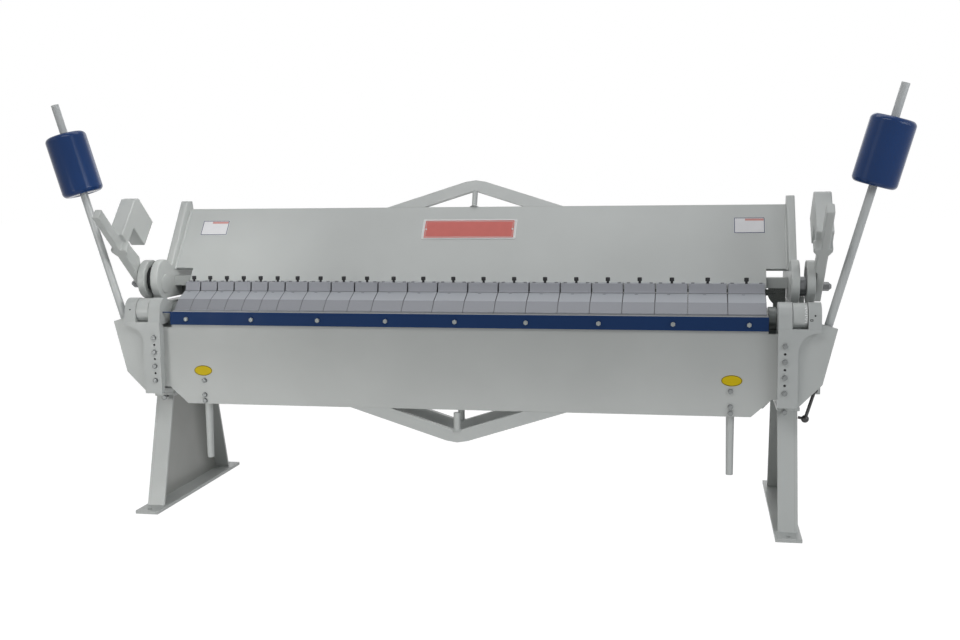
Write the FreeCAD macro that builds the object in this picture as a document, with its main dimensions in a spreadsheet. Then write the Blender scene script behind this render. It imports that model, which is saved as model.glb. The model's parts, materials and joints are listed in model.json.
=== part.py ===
# Box and pan brake, floor standing, with a counterbalanced bending leaf.
# Frame: X along the bend, +Y to the rear, +Z up. The origin lies on the floor at the
# centre of the four anchor holes. The "bend line" is the axis that the apron swings on.
# Depths named *_back are measured behind the bend line, *_fore in front of it.
import FreeCAD, Part
import math
import os
import Sketcher

Vector = FreeCAD.Vector
Rotation = FreeCAD.Rotation
Placement = FreeCAD.Placement

# Driving dimensions in millimetres and degrees

SIZES = {
    # stance
    "bed_height": 838.0,
    "bend_line_y": -280.0,
    "leg_inset": 9.0,
    "foot_length": 877.0,
    "foot_width": 99.0,
    "foot_thickness": 14.0,
    "anchor_inset": 32.0,
    "anchor_radius": 9.5,
    "leg_height": 474.0,
    "leg_width": 75.0,
    "leg_plate": 12.0,
    "leg_foot_spread": 695.0,
    "leg_head_spread": 440.0,
    "leg_cap": 14.0,
    "leg_cap_outset": 9.0,
    "leg_cap_inset": 3.0,
    "leg_bolt_inset": 24.0,
    "leg_bolt_drop": 13.0,
    "leg_bolt_reach": 30.0,
    "leg_bolt_radius": 5.0,
    "base_bolt_back": 110.0,
    "base_bolt_pitch": 120.0,
    "base_bolt_count": 4.0,
    "base_bolt_inset": 20.0,
    "leg_outset": 2.5,
    # end housings
    "hinge_offset": 87.0,
    "hinge_width": 53.0,
    "knuckle_radius": 52.0,
    "knuckle_room": 2.0,
    "housing_front_back": 42.0,
    "housing_foot_back": 64.0,
    "housing_rear_back": 505.0,
    "housing_foot_rear_back": 498.0,
    "housing_drop": 24.0,
    "knuckle_arm_depth": 38.0,
    "housing_flange": 20.0,
    "housing_foot_relief": 26.0,
    # bed
    "bending_length": 2438.0,
    "bed_gap": 0.5,
    "edge_depth": 66.0,
    "edge_thickness": 45.0,
    "web_back": 67.0,
    "web_thickness": 25.0,
    "web_overhang": 8.0,
    "web_corner_inset": 12.0,
    "web_corner_rise": 38.0,
    "web_side_reach": 22.0,
    "bed_top_depth": 240.0,
    "bed_top_thickness": 20.0,
    "bed_rear_lip": 90.0,
    "end_lug_back": 91.0,
    "end_lug_drop": 20.0,
    "end_lug_radius": 46.0,
    "end_lug_gap": 2.0,
    "end_lug_length": 29.0,
    "adjuster_back": 282.0,
    "adjuster_rise": 65.0,
    "adjuster_disc_reach": 66.0,
    "adjuster_disc_radius": 55.0,
    "adjuster_disc_thickness": 24.0,
    "adjuster_side_gap": 4.0,
    "adjuster_stem_reach": 33.0,
    "adjuster_stem_width": 20.0,
    "adjuster_neck_radius": 13.0,
    "adjuster_neck_depth": 10.0,
    "adjuster_knob_length": 8.0,
    "adjuster_knob_reach": 4.0,
    "adjuster_knob_radius": 26.0,
    # truss rods under the bed and apron, and over the top leaf
    "bed_truss_half_span": 430.0,
    "truss_rise_angle": 17.6,
    "top_truss_angle": 18.5,
    "top_truss_lean": 20.0,
    "top_truss_root": 12.0,
    "truss_soft_apex": 44.0,
    "strap_width": 52.0,
    "top_truss_half_span": 385.0,
    "apron_truss_half_span": 445.0,
    "apron_post_gap": 12.0,
    "post_radius": 14.0,
    "top_post_radius": 11.5,
    "post_foot_radius": 21.0,
    "post_foot_height": 9.0,
    # apron
    "apron_end_inset": 6.0,
    "apron_thickness": 18.0,
    "apron_depth": 391.0,
    "apron_corner_inset": 62.0,
    "apron_corner_rise": 70.0,
    "apron_side_reach": 15.0,
    "apron_notch_drop": 68.0,
    "apron_drop": 2.5,
    "blade_height": 54.0,
    "blade_thickness": 10.0,
    "blade_bolt_pitch": 286.5,
    "blade_bolt_count": 9.0,
    "blade_bolt_drop": 32.0,
    "blade_bolt_radius": 9.3,
    "wing_thickness": 18.0,
    "wing_inset": 50.0,
    "wing_top_reach": 112.0,
    "wing_top_drop": 43.0,
    "wing_shoulder_reach": 53.0,
    "wing_shoulder_drop": 26.0,
    "wing_mid_reach": 60.0,
    "wing_mid_drop": 257.0,
    "wing_bottom_inset": 27.0,
    "wing_bottom_drop": 345.0,
    "wing_toe_inset": 6.0,
    "wing_toe_rise": 60.0,
    # hinge brackets on the apron
    "ear_radius": 54.0,
    "ear_reach": 51.0,
    "hinge_gap": 2.5,
    "arm_inset": 54.0,
    "arm_width": 74.0,
    "arm_thickness": 27.0,
    "arm_bottom_drop": 344.0,
    "yoke_drop": 58.0,
    "yoke_thickness": 15.0,
    "ear_foot_rise": 4.0,
    "ear_screw_inset": 24.0,
    "ear_screw_rise": 8.0,
    "ear_screw_radius": 3.5,
    "ear_screw_depth": 4.0,
    "gusset_drop": 72.0,
    "pin_radius": 20.0,
    "pin_clearance": 0.05,
    "pin_stand_out": 3.0,
    "pin_inset": 6.0,
    "bracket_bolt_inset": 26.0,
    "bracket_bolt_drop": 108.0,
    "bracket_bolt_pitch": 60.0,
    "bracket_bolt_count": 4.0,
    "bolt_head_radius": 11.0,
    "bolt_head_height": 9.0,
    "bolt_seat_gap": 0.3,
    "set_screw_radius": 5.0,
    "jack_depth": 6.0,
    "jack_sunk": 2.0,
    # counterweights
    "mast_radius": 16.0,
    "mast_foot_reach": 38.4,
    "mast_foot_drop": 190.0,
    "mast_foot_back": 28.6,
    "socket_width": 54.0,
    "socket_length": 150.0,
    "socket_clear": 3.0,
    "socket_drop": 4.0,
    "mast_length": 1090.5,
    "mast_splay": 15.3,
    "mast_lean": 3.03,
    "weight_radius": 84.0,
    "weight_length": 256.0,
    "weight_round": 20.0,
    "weight_from_tip": 127.5,
    "weight_clearance": 0.4,
    "collar_screw_radius": 8.0,
    "collar_screw_length": 26.0,
    "collar_screw_gap": 0.1,
    # pull handles on the apron
    "handle_inset": 139.0,
    "handle_radius": 17.0,
    "handle_tip_radius": 14.0,
    "handle_top_rise": 119.0,
    "handle_length": 355.0,
    "handle_bolt_top_rise": 99.5,
    "handle_bolt_mid_rise": 38.5,
    "handle_bolt_low_rise": 13.5,
    # top leaf
    "leaf_lean": 37.0,
    "leaf_thickness": 16.0,
    "leaf_side_inset": 2.0,
    "leaf_side_thickness": 33.0,
    "leaf_rise": 418.0,
    "leaf_top_back": 407.0,
    "window_rise": 165.0,
    "side_rise": 454.0,
    "side_top_back": 374.0,
    "side_top_width": 50.0,
    "side_front_rise": 168.0,
    "side_front_back": 181.0,
    "side_rear_back": 507.0,
    "side_rear_rise": 122.0,
    "side_foot_rise": 40.0,
    "boss_radius": 85.0,
    "nose_bar_depth": 48.0,
    "nose_bar_height": 42.0,
    "nose_bar_rise": 88.0,
    "pivot_back": 462.0,
    "pivot_rise": 68.0,
    "pivot_radius": 16.0,
    "pivot_pin_inset": 3.0,
    "leaf_side_gap": 4.0,
    "pivot_ear_radius": 38.0,
    "pivot_ear_flare": 14.0,
    "shaft_rest_width": 26.0,
    # fingers
    "finger_gap": 0.8,
    "finger_inset": 6.0,
    "sheet_gap": 0.6,
    "nose_setback": 3.5,
    "nose_height": 5.0,
    "nose_break_back": 47.0,
    "nose_break_rise": 45.0,
    "shoe_top_back": 112.0,
    "shoe_top_rise": 74.0,
    "land_back": 52.0,
    "heel_rise": 34.0,
    "heel_back": 126.0,
    "block_top_rise": 112.0,
    "block_toe": 4.0,
    "block_toe_rise": 10.0,
    "block_inset": 2.5,
    "thumb_radius": 9.0,
    "thumb_height": 15.0,
    "thumb_neck_radius": 5.0,
    "thumb_neck_height": 9.0,
    "thumb_back": 134.0,
    "jack_radius": 7.0,
    "jack_height": 4.0,
    "jack_inset": 18.0,
    # clamping levers
    "shaft_back": 122.0,
    "shaft_rise": 104.0,
    "shaft_radius": 38.0,
    "stud_radius": 13.0,
    "throw": 19.0,
    "cam_room": 2.0,
    "cam_radius": 50.0,
    "strap_ring_radius": 83.0,
    "strap_ring_bore": 56.0,
    "strap_gap": 4.5,
    "strap_thickness": 32.0,
    "strap_shank_width": 50.0,
    "link_pin_drop": 238.0,
    "strap_pin_radius": 15.0,
    "strap_pin_stand_out": 6.0,
    "lever_angle": 40.5,
    "lever_gap": 2.5,
    "lever_tail": 74.0,
    "lever_shoulder": 264.0,
    "lever_length": 477.0,
    "lever_height": 44.0,
    "lever_tail_thickness": 28.0,
    "lever_waist_at": 221.0,
    "lever_ring_room": 27.0,
    "lever_ring_slope": 12.0,
    "lever_waist_inset": 11.5,
    "lever_waist_reach": 29.5,
    "lever_shoulder_inset": 27.0,
    "lever_shoulder_reach": 43.5,
    "lever_shoulder_flat": 20.0,
    "lever_heel_rise": 39.0,
    "lever_heel_waist_rise": 27.0,
    "lever_heel_foot": 60.0,
    "lever_heel_tip": 258.0,
    "grip_inset": 0.5,
    "grip_width": 30.0,
    "hook_inset": 19.0,
    "hook_width": 64.0,
    "hook_front": 312.0,
    "hook_leg_back": 250.0,
    "hook_rear": 129.0,
    "hook_top": 237.0,
    "hook_under": 108.0,
    "hook_chamfer": 24.0,
    "nut_across": 31.0,
    "nut_gap": 0.6,
    "nut_height": 23.4,
    "nut_dome": 10.0,
    # swing stop lever
    "stop_back": 60.0,
    "stop_pivot_reach": 41.0,
    "stop_pivot_rise": 71.0,
    "stop_rod_radius": 6.5,
    "stop_rod_length": 118.0,
    "stop_rod_angle": 17.0,
    "stop_ball_radius": 15.0,
    "stop_tail_radius": 5.5,
    "stop_tail_length": 27.0,
    "stop_tail_angle": -95.0,
    "stop_block": 34.0,
    "stop_block_outset": 21.0,
    "stop_hub_wall": 4.0,
    "stop_hub_length": 14.0,
}

doc = FreeCAD.newDocument("BoxAndPanBrake")
sheet = doc.addObject("Spreadsheet::Sheet", "Sizes")
for row, (alias, value) in enumerate(SIZES.items(), start=1):
    sheet.set(f"A{row}", alias)
    sheet.set(f"B{row}", str(value))
    sheet.setAlias(f"B{row}", alias)
doc.recompute()


class Size:
    """A length or an angle, with the expression that works it out from the sheet."""

    def __init__(self, value, text):
        self.value = float(value)
        self.text = text

    def __add__(self, other):
        other = as_size(other)
        return Size(self.value + other.value, f"({self.text} + {other.text})")

    def __radd__(self, other):
        return as_size(other) + self

    def __sub__(self, other):
        other = as_size(other)
        return Size(self.value - other.value, f"({self.text} - {other.text})")

    def __rsub__(self, other):
        return as_size(other) - self

    def __mul__(self, other):
        other = as_size(other)
        return Size(self.value * other.value, f"({self.text} * {other.text})")

    def __rmul__(self, other):
        return as_size(other) * self

    def __truediv__(self, other):
        other = as_size(other)
        return Size(self.value / other.value, f"({self.text} / {other.text})")

    def __neg__(self):
        return Size(-self.value, f"(0 - {self.text})")


def as_size(number):
    if isinstance(number, Size):
        return number
    return Size(number, repr(float(number)))


def sine(angle):
    return Size(math.sin(math.radians(angle.value)), f"sin({angle.text})")


def cosine(angle):
    return Size(math.cos(math.radians(angle.value)), f"cos({angle.text})")


class SizeTable:
    """Reads a size of the sheet by its alias."""

    def __getattr__(self, alias):
        return Size(sheet.get(alias), f"Sizes.{alias}")


S = SizeTable()
NODES = []
OVER = 1.0
HEX_SIDES = 6

X_AXIS = Vector(1, 0, 0)
Y_AXIS = Vector(0, 1, 0)
Z_AXIS = Vector(0, 0, 1)
TO_X = (Y_AXIS, as_size(90))
TO_Y = (X_AXIS, as_size(-90))
HEX_HALF_ANGLE = as_size(180 / HEX_SIDES)


# Helpers that make bound objects

def bind(item, prop, size):
    size = as_size(size)
    item.setExpression(prop, size.text)


def place(item, x=0, y=0, z=0, turn=(Z_AXIS, as_size(0))):
    """Puts an object at a point, turned about an axis by an angle in degrees."""
    spot = [as_size(v) for v in (x, y, z)]
    axis, angle = turn
    item.Placement = Placement(Vector(*[v.value for v in spot]), Rotation(axis, angle.value))
    for letter, size in zip("xyz", spot):
        bind(item, f"Placement.Base.{letter}", size)
    if "Sizes" in angle.text:
        item.setExpression("Placement.Rotation.Angle", angle.text)
    return item


def box(name, x, y, z, turn=(Z_AXIS, as_size(0))):
    """A block between two values on each axis."""
    item = doc.addObject("Part::Box", name)
    bind(item, "Length", as_size(x[1]) - x[0])
    bind(item, "Width", as_size(y[1]) - y[0])
    bind(item, "Height", as_size(z[1]) - z[0])
    return place(item, x[0], y[0], z[0], turn)


def cylinder(name, radius, length, x, y, z, turn=(Z_AXIS, as_size(0))):
    item = doc.addObject("Part::Cylinder", name)
    bind(item, "Radius", radius)
    bind(item, "Height", length)
    return place(item, x, y, z, turn)


def bar_x(name, radius, x0, x1, y, z):
    return cylinder(name, radius, as_size(x1) - x0, x0, y, z, TO_X)


def bar_y(name, radius, y0, y1, x, z):
    return cylinder(name, radius, as_size(y1) - y0, x, y0, z, TO_Y)


def bar_z(name, radius, z0, z1, x, y):
    return cylinder(name, radius, as_size(z1) - z0, x, y, z0)


def hexagon_y(name, radius, y0, y1, x, z):
    """A hexagon bolt head or nut with its axis along Y."""
    item = doc.addObject("Part::Prism", name)
    item.Polygon = HEX_SIDES
    bind(item, "Circumradius", radius)
    bind(item, "Height", as_size(y1) - y0)
    return place(item, x, y0, z, TO_Y)


def hexagon_x(name, radius, x0, x1, y, z):
    item = doc.addObject("Part::Prism", name)
    item.Polygon = HEX_SIDES
    bind(item, "Circumradius", radius)
    bind(item, "Height", as_size(x1) - x0)
    return place(item, x0, y, z, TO_X)


def hexagon_z(name, radius, z0, z1, x, y):
    item = doc.addObject("Part::Prism", name)
    item.Polygon = HEX_SIDES
    bind(item, "Circumradius", radius)
    bind(item, "Height", as_size(z1) - z0)
    return place(item, x, y, z0)


def fuse(name, *parts):
    item = doc.addObject("Part::MultiFuse", name)
    item.Shapes = list(parts)
    item.Refine = True
    return item


def cut(name, base, *tools):
    item = doc.addObject("Part::Cut", name)
    item.Base = base
    item.Tool = tools[0] if len(tools) == 1 else fuse(name + "Tools", *tools)
    item.Refine = True
    return item


def group(name, parts):
    item = doc.addObject("Part::Compound", name)
    item.Links = list(parts)
    return item


def mirrored(name, source):
    """The left-hand twin of a right-hand piece."""
    item = doc.addObject("Part::Mirroring", name)
    item.Source = source
    item.Normal = X_AXIS
    item.Base = Vector(0, 0, 0)
    return item


def publish(item, label):
    item.Label = label
    NODES.append(item)
    return item


def publish_pair(source, label):
    publish(source, label + "_right")
    publish(mirrored(source.Name + "Left", source), label + "_left")


def outline_sketch(body, name, plane, points):
    """A closed outline on one of the body's origin planes, every corner bound to sizes."""
    sketch = body.newObject("Sketcher::SketchObject", name)
    face = [f for f in body.Origin.OriginFeatures if f.Role == plane][0]
    sketch.AttachmentSupport = [(face, "")]
    sketch.MapMode = "FlatFace"
    corners = [(as_size(a), as_size(b)) for a, b in points]
    count = len(corners)
    lines = []
    for index, (a, b) in enumerate(corners):
        c, d = corners[(index + 1) % count]
        lines.append(Part.LineSegment(Vector(a.value, b.value, 0), Vector(c.value, d.value, 0)))
    sketch.addGeometry(lines, False)
    for index in range(count):
        sketch.addConstraint(Sketcher.Constraint("Coincident", index, 2, (index + 1) % count, 1))
    for index, (a, b) in enumerate(corners):
        for letter, kind, size in (("a", "DistanceX", a), ("b", "DistanceY", b)):
            place_in_list = sketch.addConstraint(Sketcher.Constraint(kind, -1, 1, index, 1, size.value))
            sketch.renameConstraint(place_in_list, f"{letter}{index}")
            sketch.setExpression(f"Constraints.{letter}{index}", size.text)
    return sketch


def plate(name, plane, points, start, end):
    """A solid with a flat outline, from one value to another along its plane's normal.

    XZ_Plane has its normal towards -Y, so there the pad starts from the greater Y.
    """
    body = doc.addObject("PartDesign::Body", name)
    sketch = outline_sketch(body, name + "Outline", plane, points)
    start, end = as_size(start), as_size(end)
    offset = -end if plane == "XZ_Plane" else start
    sketch.AttachmentOffset = Placement(Vector(0, 0, offset.value), Rotation())
    bind(sketch, "AttachmentOffset.Base.z", offset)
    pad = body.newObject("PartDesign::Pad", name + "Pad")
    pad.Profile = sketch
    bind(pad, "Length", end - start)
    sketch.Visibility = False
    return body


# Places that several pieces share, first along the bend, outwards from its middle

BED_END = S.bending_length / 2
HINGE_IN = BED_END + S.hinge_offset
HINGE_OUT = HINGE_IN + S.hinge_width
LEG_X = HINGE_IN - S.leg_inset
LEG_IN = LEG_X - S.leg_width / 2 + S.leg_outset
LEG_OUT = LEG_X + S.leg_width / 2 + S.leg_outset
WEB_CORNER_X = BED_END - S.web_corner_inset
WEB_SIDE_X = BED_END + S.web_side_reach
END_LUG_IN = BED_END + S.end_lug_gap
END_LUG_OUT = END_LUG_IN + S.end_lug_length
DISC_X = BED_END + S.adjuster_disc_reach
STEM_IN = BED_END + S.adjuster_stem_reach
STEM_OUT = STEM_IN + S.adjuster_stem_width
KNOB_OUT = BED_END + S.adjuster_knob_reach
KNOB_IN = KNOB_OUT - S.adjuster_knob_length
APRON_END = HINGE_IN - S.apron_end_inset
APRON_CORNER_X = BED_END - S.apron_corner_inset
APRON_SIDE_X = BED_END + S.apron_side_reach
HANDLE_X = BED_END - S.handle_inset
ARM_IN = HINGE_IN - S.arm_inset
ARM_OUT = ARM_IN + S.arm_width
EAR_OUT = HINGE_OUT + S.ear_reach
EAR_SCREW_X = EAR_OUT - S.ear_screw_inset
BRACKET_BOLT_X = ARM_IN + S.bracket_bolt_inset
PIN_IN = ARM_IN + S.pin_inset
WING_IN = HINGE_IN - S.wing_inset
WING_TOE_X = WING_IN + S.wing_toe_inset
WING_TOP_X = HINGE_OUT + S.wing_top_reach
WING_SHOULDER_X = HINGE_OUT + S.wing_shoulder_reach
WING_MID_X = HINGE_OUT + S.wing_mid_reach
WING_BOTTOM_X = HINGE_OUT - S.wing_bottom_inset
MAST_FOOT_X = HINGE_OUT + S.mast_foot_reach
SIDE_IN = HINGE_IN - S.leaf_side_inset
SIDE_OUT = SIDE_IN + S.leaf_side_thickness
PIVOT_EAR_IN = SIDE_OUT + S.leaf_side_gap
STRAP_IN = HINGE_OUT + S.strap_gap
STRAP_OUT = STRAP_IN + S.strap_thickness
LEVER_IN = STRAP_OUT + S.lever_gap
LEVER_TAIL_X = LEVER_IN + S.lever_tail_thickness
WAIST_IN = LEVER_IN - S.lever_waist_inset
WAIST_OUT = LEVER_IN + S.lever_waist_reach
SHOULDER_IN = LEVER_IN - S.lever_shoulder_inset
SHOULDER_OUT = LEVER_IN + S.lever_shoulder_reach
GRIP_IN = LEVER_IN - S.grip_inset
GRIP_OUT = GRIP_IN + S.grip_width
HOOK_IN = LEVER_IN - S.hook_inset
HOOK_OUT = HOOK_IN + S.hook_width
NUT_IN = LEVER_TAIL_X + S.nut_gap
NUT_OUT = NUT_IN + S.nut_height
STOP_PIVOT_X = HINGE_OUT + S.stop_pivot_reach

# Heights

HINGE_Z = S.bed_height
WEB_BOTTOM = S.leg_height - S.web_overhang
STOP_PIVOT_Z = S.leg_height + S.stop_pivot_rise
APRON_BOTTOM = HINGE_Z - S.apron_depth
NOTCH_TOP = HINGE_Z - S.apron_notch_drop
HANDLE_TOP = APRON_BOTTOM + S.handle_top_rise
HANDLE_BOTTOM = HANDLE_TOP - S.handle_length
WING_TOP_Z = HINGE_Z - S.wing_top_drop
WING_SHOULDER_Z = HINGE_Z - S.wing_shoulder_drop
WING_MID_Z = HINGE_Z - S.wing_mid_drop
WING_BOTTOM_Z = HINGE_Z - S.wing_bottom_drop
ARM_BOTTOM = HINGE_Z - S.arm_bottom_drop
YOKE_BOTTOM = HINGE_Z - S.yoke_drop
YOKE_TOP = YOKE_BOTTOM + S.yoke_thickness
EAR_FOOT = YOKE_BOTTOM + S.ear_foot_rise
BRACKET_BOLT_TOP = HINGE_Z - S.bracket_bolt_drop
MAST_FOOT_Z = HINGE_Z - S.mast_foot_drop
LINK_PIN_Z = HINGE_Z - S.link_pin_drop
PIVOT_Z = HINGE_Z + S.pivot_rise
SHAFT_Z = HINGE_Z + S.shaft_rise
CAM_Z = SHAFT_Z + S.throw
SIDE_BOTTOM = HINGE_Z + S.side_foot_rise
SIDE_FRONT_Z = HINGE_Z + S.side_front_rise
SIDE_REAR_Z = HINGE_Z + S.side_rear_rise
SIDE_TOP = HINGE_Z + S.side_rise
NOSE_BAR_BOTTOM = HINGE_Z + S.nose_bar_rise
NOSE_BAR_TOP = NOSE_BAR_BOTTOM + S.nose_bar_height
WINDOW_TOP = HINGE_Z + S.window_rise
LEAF_TOP = HINGE_Z + S.leaf_rise

# Depths

HINGE_Y = S.bend_line_y
APRON_BACK = HINGE_Y
APRON_FRONT = APRON_BACK - S.apron_thickness
WING_FRONT = APRON_FRONT - S.wing_thickness
ARM_FRONT = WING_FRONT - S.arm_thickness
PIVOT_Y = HINGE_Y + S.pivot_back
SHAFT_Y = HINGE_Y + S.shaft_back
STOP_Y = HINGE_Y + S.stop_back
LEG_SPLAY = (S.leg_foot_spread - S.leg_head_spread) / 2 / (S.leg_height - S.leg_cap - S.foot_thickness)
LEAF_TAN = sine(S.leaf_lean) / cosine(S.leaf_lean)


def leaf_face_y(z):
    """Where the sloping front face of the top leaf lies at a height."""
    return HINGE_Y + S.leaf_top_back - (LEAF_TOP - z) * LEAF_TAN


# Legs: a foot plate, a channel that tapers upwards and a cap plate

def leg_flange(name, side):
    """The front (-1) or rear (+1) flange of a leg."""
    low, high = S.leg_foot_spread / 2 * side, S.leg_head_spread / 2 * side
    skin = S.leg_plate * side
    foot, head = S.foot_thickness, S.leg_height - S.leg_cap
    corners = [(low, foot), (high, head), (high - skin, head), (low - skin, foot)]
    return plate(name, "YZ_Plane", corners, LEG_IN, LEG_OUT)


def make_leg():
    foot_end = S.foot_length / 2
    foot = box("LegFoot", (LEG_X - S.foot_width / 2, LEG_X + S.foot_width / 2),
               (-foot_end, foot_end), (0, S.foot_thickness))
    head = box("LegCap", (LEG_IN - S.leg_cap_inset, LEG_OUT + S.leg_cap_outset),
               (-S.leg_head_spread / 2, S.leg_head_spread / 2), (S.leg_height - S.leg_cap, S.leg_height))
    low, high = S.leg_foot_spread / 2, S.leg_head_spread / 2
    foot_z, head_z = S.foot_thickness, S.leg_height - S.leg_cap
    web_outline = [(-low, foot_z), (low, foot_z), (high, head_z), (-high, head_z)]
    web = plate("LegWeb", "YZ_Plane", web_outline, LEG_OUT - S.leg_plate, LEG_OUT)
    front = leg_flange("LegFrontFlange", -1)
    rear = leg_flange("LegRearFlange", 1)
    holes = []
    for name, side in (("Front", -1), ("Rear", 1)):
        spot = (foot_end - S.anchor_inset) * side
        holes.append(bar_z("AnchorHole" + name, S.anchor_radius, -OVER, S.foot_thickness + OVER,
                           LEG_X, spot))
    return cut("Leg", fuse("LegWeldment", foot, head, web, front, rear), *holes)


publish_pair(make_leg(), "leg")


# End housings: side plate with the hinge knuckle, base flange and rear pivot ear

def make_housing():
    top = HINGE_Z + S.housing_drop
    under_arm = HINGE_Z - S.knuckle_arm_depth
    front = HINGE_Y + S.housing_front_back
    rear = HINGE_Y + S.housing_rear_back
    outline = [
        (HINGE_Y + S.housing_foot_back, S.leg_height),
        (front, under_arm),
        (HINGE_Y, under_arm),
        (HINGE_Y, top),
        (rear, top),
        (HINGE_Y + S.housing_foot_rear_back, S.leg_height),
    ]
    side = plate("HousingSide", "YZ_Plane", outline, HINGE_IN, HINGE_OUT)
    knuckle = bar_x("Knuckle", S.knuckle_radius, HINGE_IN, HINGE_OUT, HINGE_Y, HINGE_Z)
    flange = box("HousingFlange", (LEG_IN, HINGE_IN),
                 (HINGE_Y + S.housing_foot_back, HINGE_Y + S.housing_foot_rear_back),
                 (S.leg_height, S.leg_height + S.housing_flange))
    ear_outline = [
        (PIVOT_Y - S.pivot_ear_radius - S.pivot_ear_flare, top - OVER),
        (PIVOT_Y + S.pivot_ear_radius, top - OVER),
        (PIVOT_Y + S.pivot_ear_radius, PIVOT_Z),
        (PIVOT_Y - S.pivot_ear_radius, PIVOT_Z),
    ]
    ear = plate("PivotEar", "YZ_Plane", ear_outline, PIVOT_EAR_IN, HINGE_OUT)
    ear_top = bar_x("PivotEarTop", S.pivot_ear_radius, PIVOT_EAR_IN, HINGE_OUT, PIVOT_Y, PIVOT_Z)
    half = S.shaft_rest_width / 2
    rest = box("ShaftRest", (SIDE_OUT + S.leaf_side_gap, HINGE_OUT - OVER),
               (SHAFT_Y - half, SHAFT_Y + half), (top - OVER, SHAFT_Z - S.shaft_radius - OVER))
    bore = bar_x("KnuckleBore", S.pin_radius + S.pin_clearance, HINGE_IN - OVER,
                 HINGE_OUT + OVER, HINGE_Y, HINGE_Z)
    pivot_seat = bar_x("PivotPinSeat", S.pivot_radius, PIVOT_EAR_IN - OVER, HINGE_OUT + OVER,
                       PIVOT_Y, PIVOT_Z)
    relief = box("HousingFootRelief", (LEG_OUT, HINGE_OUT + OVER), (front - OVER, rear + OVER),
                 (S.leg_height - OVER, S.leg_height + S.housing_foot_relief))
    whole = fuse("HousingWhole", side, knuckle, flange, ear, ear_top, rest)
    return cut("Housing", whole, bore, pivot_seat, relief)


publish_pair(make_housing(), "end_housing")


# Bed: cross beam with its rear lip and end lugs, machined edge, truss

def make_bed():
    top = HINGE_Z
    web_front = HINGE_Y + S.web_back
    web_back = web_front + S.web_thickness
    half = HINGE_IN
    corner = WEB_BOTTOM + S.web_corner_rise
    outline = [
        (-WEB_CORNER_X, WEB_BOTTOM),
        (WEB_CORNER_X, WEB_BOTTOM),
        (WEB_SIDE_X, corner),
        (half, corner),
        (half, top),
        (-half, top),
        (-half, corner),
        (-WEB_SIDE_X, corner),
    ]
    web = plate("BedWeb", "XZ_Plane", outline, web_front, web_back)
    shelf = box("BedTop", (-half, half), (web_back, web_front + S.bed_top_depth),
                (top - S.bed_top_thickness, top))
    lip_back = web_front + S.bed_top_depth
    lip = box("BedRearLip", (-half, half), (lip_back - S.bed_top_thickness, lip_back),
              (top - S.bed_rear_lip, top - S.bed_top_thickness))
    lugs = [bar_x("BedEndLug" + word, S.end_lug_radius, x0, x1, HINGE_Y + S.end_lug_back,
                  top - S.end_lug_drop)
            for word, x0, x1 in (("Right", END_LUG_IN, END_LUG_OUT), ("Left", -END_LUG_OUT, -END_LUG_IN))]
    return fuse("Bed", web, shelf, lip, *lugs)


publish(make_bed(), "bed_beam")
publish(box("BedEdge", (-BED_END, BED_END),
            (HINGE_Y + S.bed_gap, HINGE_Y + S.bed_gap + S.edge_depth),
            (HINGE_Z - S.edge_thickness, HINGE_Z)), "bed_edge")


def make_adjuster():
    """The leaf adjusting screw that stands on each end of the bed: stem, disc and knob."""
    y = HINGE_Y + S.adjuster_back
    z = HINGE_Z + S.adjuster_rise
    half = S.adjuster_disc_thickness / 2
    disc = bar_y("AdjusterDisc", S.adjuster_disc_radius, y - half, y + half, DISC_X, z)
    stem = box("AdjusterStem", (STEM_IN, STEM_OUT), (y - half, y + half), (HINGE_Z, z))
    reach = S.adjuster_disc_radius + OVER
    side_room = box("AdjusterSideRoom", (SIDE_IN - S.adjuster_side_gap, DISC_X + reach),
                    (y - half - OVER, y + half + OVER), (z - reach, z + reach))
    neck_end = STEM_IN + S.adjuster_neck_depth
    seat = bar_x("AdjusterNeckSeat", S.adjuster_neck_radius + S.pin_clearance, KNOB_OUT, neck_end, y, z)
    body = cut("AdjusterBody", fuse("AdjusterWhole", disc, stem), side_room, seat)
    neck = bar_x("AdjusterNeck", S.adjuster_neck_radius, KNOB_OUT, neck_end, y, z)
    knob = bar_x("AdjusterKnob", S.adjuster_knob_radius, KNOB_IN, KNOB_OUT, y, z)
    return [body, fuse("AdjusterScrew", neck, knob)]


adjusters = make_adjuster()
adjusters += [mirrored(piece.Name + "Left", piece) for piece in adjusters]
publish(group("LeafAdjusters", adjusters), "leaf_adjusters")


def truss(name, half_span, base_z, side, angle, post_radius, y0, y1, post_gap=0, root=0):
    """A shallow V of two flat straps with a post in its middle; side -1 hangs, +1 stands.

    The straps and the post may run on past the base by a root, to be trimmed to a slope.
    """
    slope = sine(angle) / cosine(angle)
    upright = S.strap_width / cosine(angle)
    reach = S.strap_width / sine(angle)
    inner_apex = (half_span - reach) * slope
    outer_apex = inner_apex + upright
    soft = S.truss_soft_apex
    low = base_z - as_size(root)
    spread = half_span + as_size(root) / slope
    middle = (as_size(y0) + y1) / 2
    straps = []
    for word, hand in (("Right", 1), ("Left", -1)):
        corners = [
            (spread * hand, low),
            (soft * hand, base_z + (outer_apex - soft * slope) * side),
            (0, base_z + (outer_apex - soft * slope / 2) * side),
            (0, base_z + inner_apex * side),
            ((spread - reach) * hand, low),
        ]
        straps.append(plate(name + word, "XZ_Plane", corners, y0, y1))
    near = low if side > 0 else base_z - inner_apex
    far = near + inner_apex + root - post_gap
    post = bar_z(name + "Post", post_radius, near, far, 0, middle)
    flare = doc.addObject("Part::Cone", name + "PostFlare")
    bind(flare, "Radius1", S.post_foot_radius)
    bind(flare, "Radius2", post_radius)
    bind(flare, "Height", S.post_foot_height)
    place(flare, 0, middle, near + root)
    return fuse(name + "Whole", *straps, post, flare)


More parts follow.
